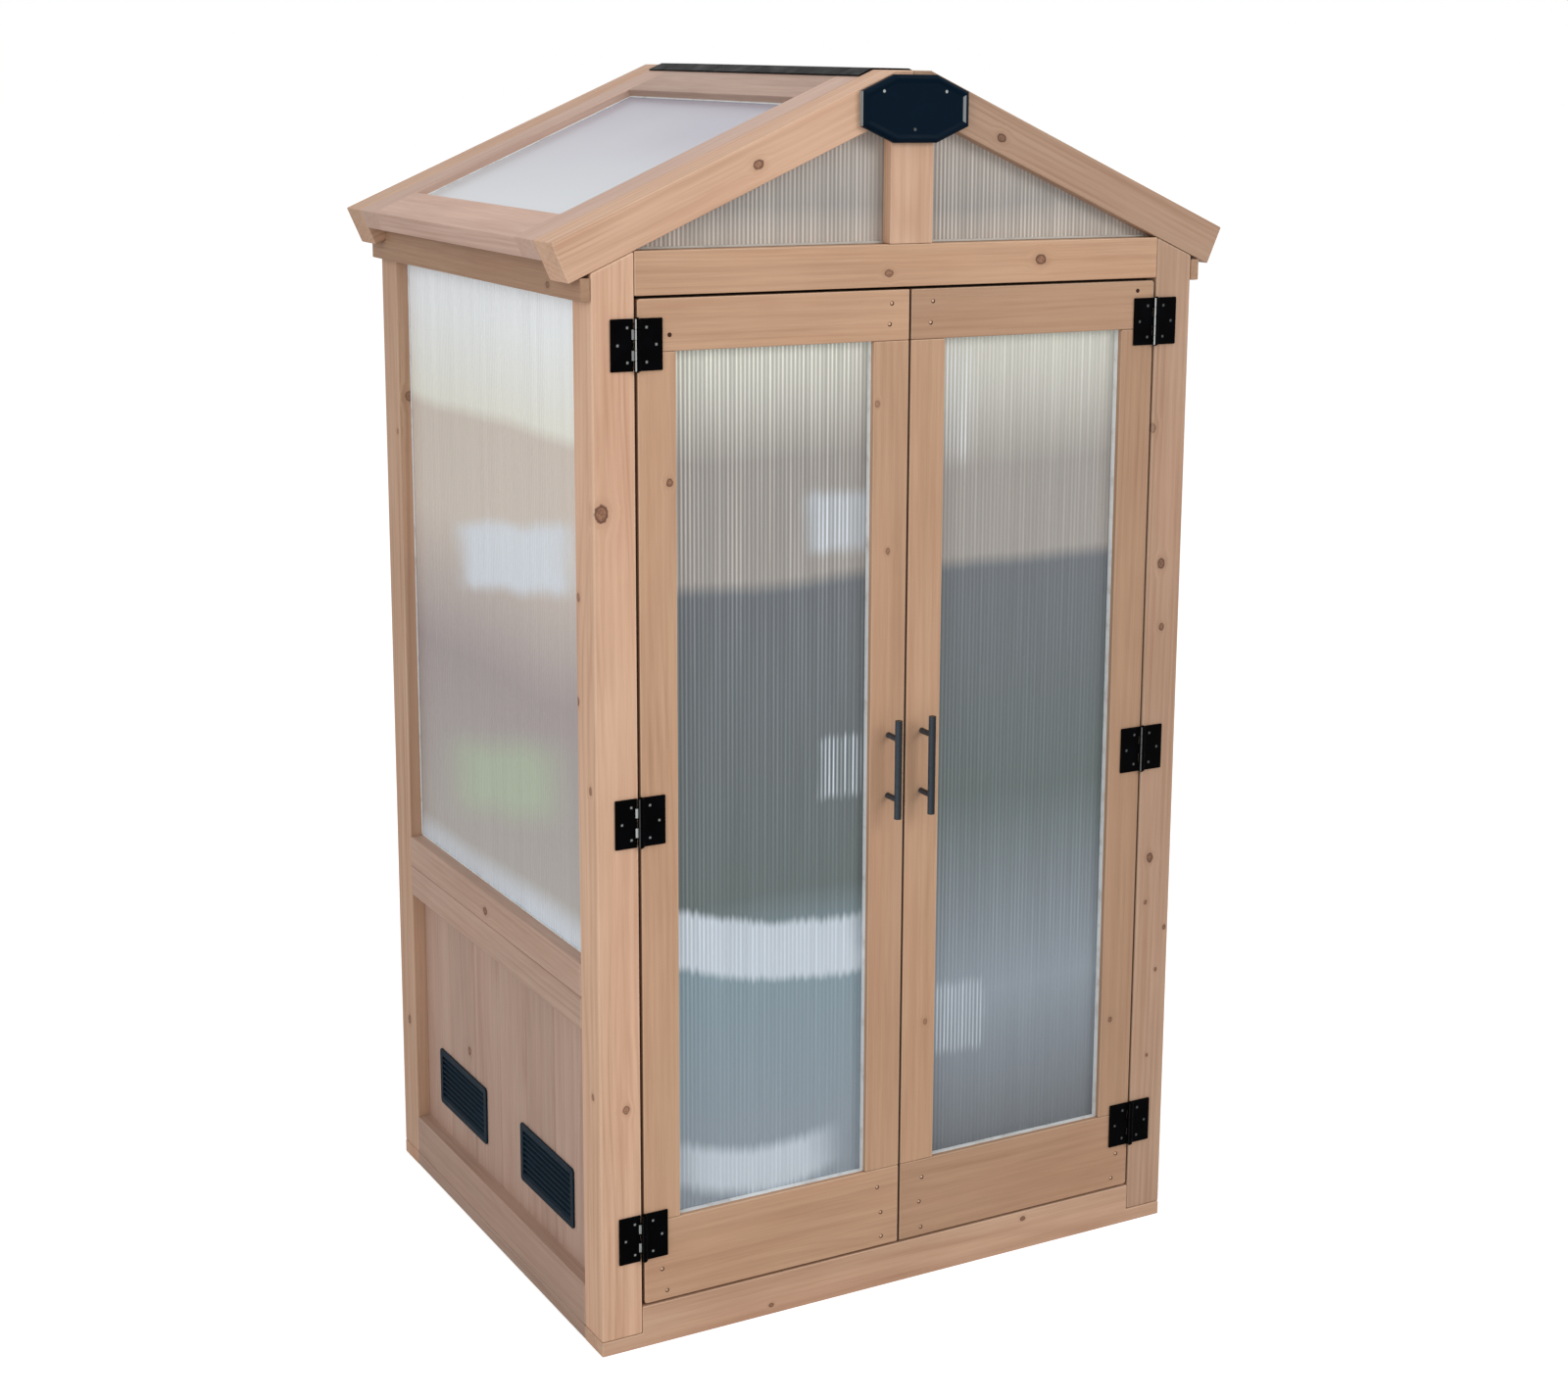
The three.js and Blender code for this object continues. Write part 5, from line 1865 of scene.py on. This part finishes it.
@dataclass
class Hinges(Builder):
    """Three butt hinges of one door, modelled once and copied down the edge."""

    side: Side
    height: float = 0.065
    reach: float = 0.035
    leaf: float = 0.002
    barrel: float = 0.004
    pin: float = 0.002
    pin_out: float = 0.0015
    clearance: float = 0.0008
    knuckle_gap: float = 0.0003
    knuckles: int = 5
    axis_in: float = 0.00175
    bend_reach: float = 0.0072
    bend_rise: float = 0.0014
    # Direction and spread of the barrel faces that get a painted highlight, and its strengths by hinge.
    gleam_way: float = math.radians(-54)
    gleam_spread: float = math.radians(12)
    feet: tuple[tuple[str, float], ...] = (("top", 1.305), ("middle", 0.695), ("bottom", 0.1255))
    gleams: dict[str, tuple[float, float]] = field(default_factory=dict)

    def __post_init__(self) -> None:
        """Works out the foot of the top hinge's pin, and the depth of a leaf."""
        layout = self.layout
        rear = layout.front - layout.seat_gap
        x = self.side.value * (layout.doorway_half - self.axis_in)
        self.axis = Vector((x, rear - self.barrel, self.feet[0][1]))
        self.depth = (rear - self.leaf, rear)

    def build(self) -> None:
        """Builds the top hinge and copies it to the other places."""
        parts = {}
        for part, way, body in (("post", 1, "cabinet"), ("door", -1, f"{self.side.label}_door")):
            out = way * self.side.value
            parts[part] = (self.build_leaf(out, part), self.build_screws(out, part), body)
        for place, low in self.feet:
            way = ALONG_Z * (low - self.feet[0][1])
            line, bend = self.gleams[place]
            for part, (leaf, screws, body) in parts.items():
                name = f"{self.side.label}_{place}_{part}_leaf"
                piece = copy_of(leaf, f"{name}_piece", way)
                # Painted highlights: barrel faces get the line's strength, the post leaf's bends the bend's.
                for glow in piece.data.attributes["worn"].data:
                    glow.value = bend * (part == "post") if glow.value > 1.5 else line * glow.value
                self.dress(piece, STEEL, Slot.STEEL, name, body)
                self.dress(copy_of(screws, f"{name}_screws", way), SCREW_STEEL, Slot.STEEL, body=body)
        for leaf, screws, _ in parts.values():
            bpy.data.objects.remove(leaf)
            bpy.data.objects.remove(screws)

    def beside(self, out: int, near: float, far: float) -> Range:
        """Turns two distances from the axis into a range of X on one side of it."""
        return tuple(sorted((self.axis.x + out * near, self.axis.x + out * far)))

    def build_leaf(self, out: int, part: str) -> Object:
        """Builds one leaf with its knuckles at the top hinge's place.

        Args:
            out: Sign of X from the axis to the leaf.
            part: Word for the leaf, post or door.

        Returns:
            The leaf.
        """
        axis, start = self.axis, self.barrel + self.clearance
        x = self.beside(out, start, self.reach)
        plate = block(f"{part}_leaf", x, self.depth, (axis.z, axis.z + self.height))
        far = axis.x + out * self.reach

        def at_corner(a: Vector, b: Vector) -> bool:
            """Tells whether an edge is an outer corner of the leaf."""
            return all(abs(p.x - far) < TOUCH for p in (a, b)) and abs(a.y - b.y) > TOUCH

        round_corners(plate, at_corner, 0.0012, 3)
        parts = [ease(plate, 0.0004)]
        pitch = self.height / self.knuckles
        for index in range(part == "post", self.knuckles, 2):
            low = axis.z + index * pitch + self.knuckle_gap / 2
            z = (low, low + pitch - self.knuckle_gap)
            tab = block("tab", self.beside(out, 0.0, start + 0.0006), self.depth, z)
            centre = Vector((axis.x, axis.y, sum(z) / 2))
            knuckle = ease(disc("knuckle", centre, self.barrel, z[1] - z[0], ALONG_Z, 36), 0.0003)
            # Painted highlight along the barrel.
            wear(knuckle, lambda c, n: float(self.catches_light(n)))
            parts += [ease(tab, 0.0002, 1), knuckle, self.build_bend(out, z)]
        if part == "post":
            centre = Vector((axis.x, axis.y, axis.z + self.height / 2))
            length = self.height + 2 * self.pin_out
            parts.append(ease(disc("pin", centre, self.pin, length, ALONG_Z, 20), 0.0004))
        return combine(f"{self.side.label}_{part}_leaf_pattern", parts)

    def catches_light(self, normal: Vector) -> bool:
        """Tells whether a face of the barrel gets the painted highlight that runs along it."""
        turn = math.atan2(normal.x, -normal.y)
        return abs(normal.z) < 0.5 and abs(turn - self.gleam_way) < self.gleam_spread

    def build_bend(self, out: int, z: Range) -> Object:
        """Builds the bend where a leaf's sheet rises into a knuckle, marked for its own painted highlight to
        be told from the barrel.
        """
        axis, face = self.axis, self.depth[0]
        x = self.beside(out, self.barrel * 0.7, self.bend_reach)
        bend = block("bend", x, (face - self.bend_rise, face + self.leaf / 2), z)
        push(
            bend,
            lambda p: p.y < face and abs(p.x - axis.x) > self.barrel,
            ALONG_Y * (self.bend_rise - TOUCH),
        )
        ease(bend, 0.0002, 1)
        return wear(bend, lambda c, n: 2.0 * (n.y < -0.7 and abs(c.x - axis.x) > self.barrel * 0.9))

    def build_screws(self, out: int, part: str) -> Object:
        """Builds the three screws of one leaf."""
        # Painted glint in the middle of each head, fainter on the right.
        glint = 0.4 if self.side is Side.LEFT else 0.15
        heads = []
        for away, rise in ((0.013, 0.011), (0.026, self.height / 2), (0.013, self.height - 0.011)):
            seat = Vector((self.axis.x + out * away, self.depth[0] + TOUCH, self.axis.z + rise))
            head = screw_head("screw", seat, -ALONG_Y, 0.0026)
            heads.append(wear(head, lambda c, n, seat=seat: glint * ((c - seat).length < 0.0009)))
        return combine(f"{self.side.label}_{part}_screws_pattern", heads)


# The scene round the greenhouse


@dataclass
class Studio:
    """Floor, soft light and the photograph's camera."""

    camera_at: tuple[float, float, float] = (-1.712936, -3.276515, 1.687814)
    azimuth: float = -31.2148
    elevation: float = 11.6257
    roll: float = 0.918
    lens: float = 59.5105
    shift: tuple[float, float] = (-0.10, -0.06875)
    fill: float = 0.58
    aim: tuple[float, float, float] = (0.0, 0.0, 0.8)
    lamps: tuple[tuple[str, tuple[float, float, float], float, float], ...] = (
        ("key lamp", (2.6, -4.6, 3.4), 2.6, 103),
        ("side lamp", (-4.7, -2.4, 2.6), 3.2, 76),
        ("top lamp", (0.0, -0.6, 5.0), 3.4, 36),
    )

    def build(self) -> None:
        """Builds the floor, the light and the camera."""
        bpy.context.scene.view_settings.view_transform = "Standard"
        self.build_floor()
        self.build_world()
        for lamp in self.lamps:
            self.build_lamp(*lamp)
        self.build_camera()

    def build_floor(self) -> None:
        """Builds the plain pale floor."""
        deselect()
        bpy.ops.mesh.primitive_plane_add(size=80, location=(0, 0, 0))
        floor = settle("studio_floor")
        g = Surface("pale floor")
        g.look((0.78, 0.78, 0.78), 0.9, 0.1)
        seen = g.out(g.node("ShaderNodeLightPath"), "Is Camera Ray") * 0.6
        g.feed_all(g.shader, {"Emission Color": (1.0, 1.0, 1.0), "Emission Strength": seen})
        floor.data.materials.append(g.material)

    def build_world(self) -> None:
        """Builds the even fill light, white where it is seen directly or mirrored."""
        world = bpy.data.worlds.new("studio")
        bpy.context.scene.world = world
        world.use_nodes = True
        g = Graph(world.node_tree)
        light = g.node("ShaderNodeLightPath")
        seen = g.out(light, "Is Camera Ray")
        for ray in ("Is Glossy Ray", "Is Transmission Ray"):
            seen = g.math("MAXIMUM", seen, g.out(light, ray))
        background = g.node("ShaderNodeBackground")
        strength = seen.over((0.0, 1.0), (self.fill, 1.0))
        g.feed_all(background, {"Color": (1.0, 1.0, 1.0), "Strength": strength})
        g.feed(g.node("ShaderNodeOutputWorld").inputs["Surface"], g.out(background))

    def build_lamp(self, name: str, at: tuple[float, float, float], size: float, watts: float) -> None:
        """Adds a large soft lamp that faces the greenhouse."""
        deselect()
        bpy.ops.object.light_add(type="AREA", location=at)
        lamp = rename(bpy.context.object, name)
        lamp.data.shape = "SQUARE"
        lamp.data.size = size
        lamp.data.energy = watts
        aim = Vector(self.aim) - Vector(at)
        lamp.rotation_euler = aim.to_track_quat("-Z", "Y").to_euler()

    def build_camera(self) -> None:
        """Sets the camera at the photograph's viewing angle."""
        deselect()
        bpy.ops.object.camera_add()
        camera = rename(bpy.context.object, "photograph camera")
        az, el, roll = (math.radians(angle) for angle in (self.azimuth, self.elevation, self.roll))
        back = Vector((math.sin(az) * math.cos(el), -math.cos(az) * math.cos(el), math.sin(el)))
        right = Vector((math.cos(az), math.sin(az), 0))
        up = back.cross(right)
        turned = math.cos(roll) * right + math.sin(roll) * up
        upright = math.cos(roll) * up - math.sin(roll) * right
        turn = Matrix((turned, upright, back)).transposed().to_4x4()
        camera.matrix_world = Matrix.Translation(self.camera_at) @ turn
        camera.data.lens = self.lens
        camera.data.sensor_width = 36
        camera.data.shift_x, camera.data.shift_y = self.shift
        bpy.context.scene.camera = camera


def build_doors(layout: Layout, finishes: Finishes) -> None:
    """Builds both doors and their hinges."""
    parts = ("meeting_stile", "hinge_stile", "door_top_rail", "door_bottom_rail")
    left = Door(
        layout,
        finishes,
        Side.LEFT,
        tones=dict(zip(parts, (0.84, 0.92, 0.92, 0.87))),
        knots={
            "hinge_stile": front_knots((-0.346, 1.163, 0.004, 0.85)),
            "meeting_stile": front_knots((-0.048, 1.246, 0.0035, 0.45), (-0.030, 1.049, 0.0032, 0.6)),
        },
        pins=(
            (-0.035, 0.1495), (-0.029, 0.111), (-0.028, 0.075), (-0.356, 0.074), (-0.363, 0.106),
            (-0.028, 1.376), (-0.031, 1.349),
        ),
        holes=((-0.345, 1.348),),
    )
    right = Door(
        layout,
        finishes,
        Side.RIGHT,
        # The right door's hinge stile and rails get lower tones than the left door's: painted shade.
        tones=dict(zip(parts, (0.89, 0.74, 0.76, 0.76))),
        knots={
            "hinge_stile": front_knots((0.352, 0.325, 0.003, 0.7)),
            "meeting_stile": front_knots((0.0386, 0.3795, 0.003, 0.5)),
        },
        pins=(
            (0.037, 0.149), (0.033, 0.113), (0.0365, 0.074), (0.369, 0.113), (0.362, 0.076),
            (0.034, 1.377), (0.031, 1.349),
        ),
        holes=((0.361, 1.380),),
    )
    # Strengths of the painted highlights on each hinge: along the barrel, and on the post leaf's bends.
    left_gleams = {"top": (0.8, 0.45), "middle": (0.10, 0.8), "bottom": (0.01, 0.55)}
    right_gleams = {"top": (0.95, 0.0), "middle": (0.22, 0.0), "bottom": (0.01, 0.0)}
    for door, gleams in ((left, left_gleams), (right, right_gleams)):
        door.build()
        Hinges(layout, finishes, door.side, gleams=gleams).build()


def main() -> None:
    """Builds the greenhouse and its studio."""
    logging.basicConfig(level=logging.INFO, format="%(name)s: %(message)s")
    layout = Layout()
    finishes = Finishes()
    for part in (Carcass, Walls, Roof, SidePanes):
        LOG.info("building %s", part.__name__)
        part(layout, finishes).build()
    build_doors(layout, finishes)
    Studio().build()


if __name__ == "__main__":
    main()
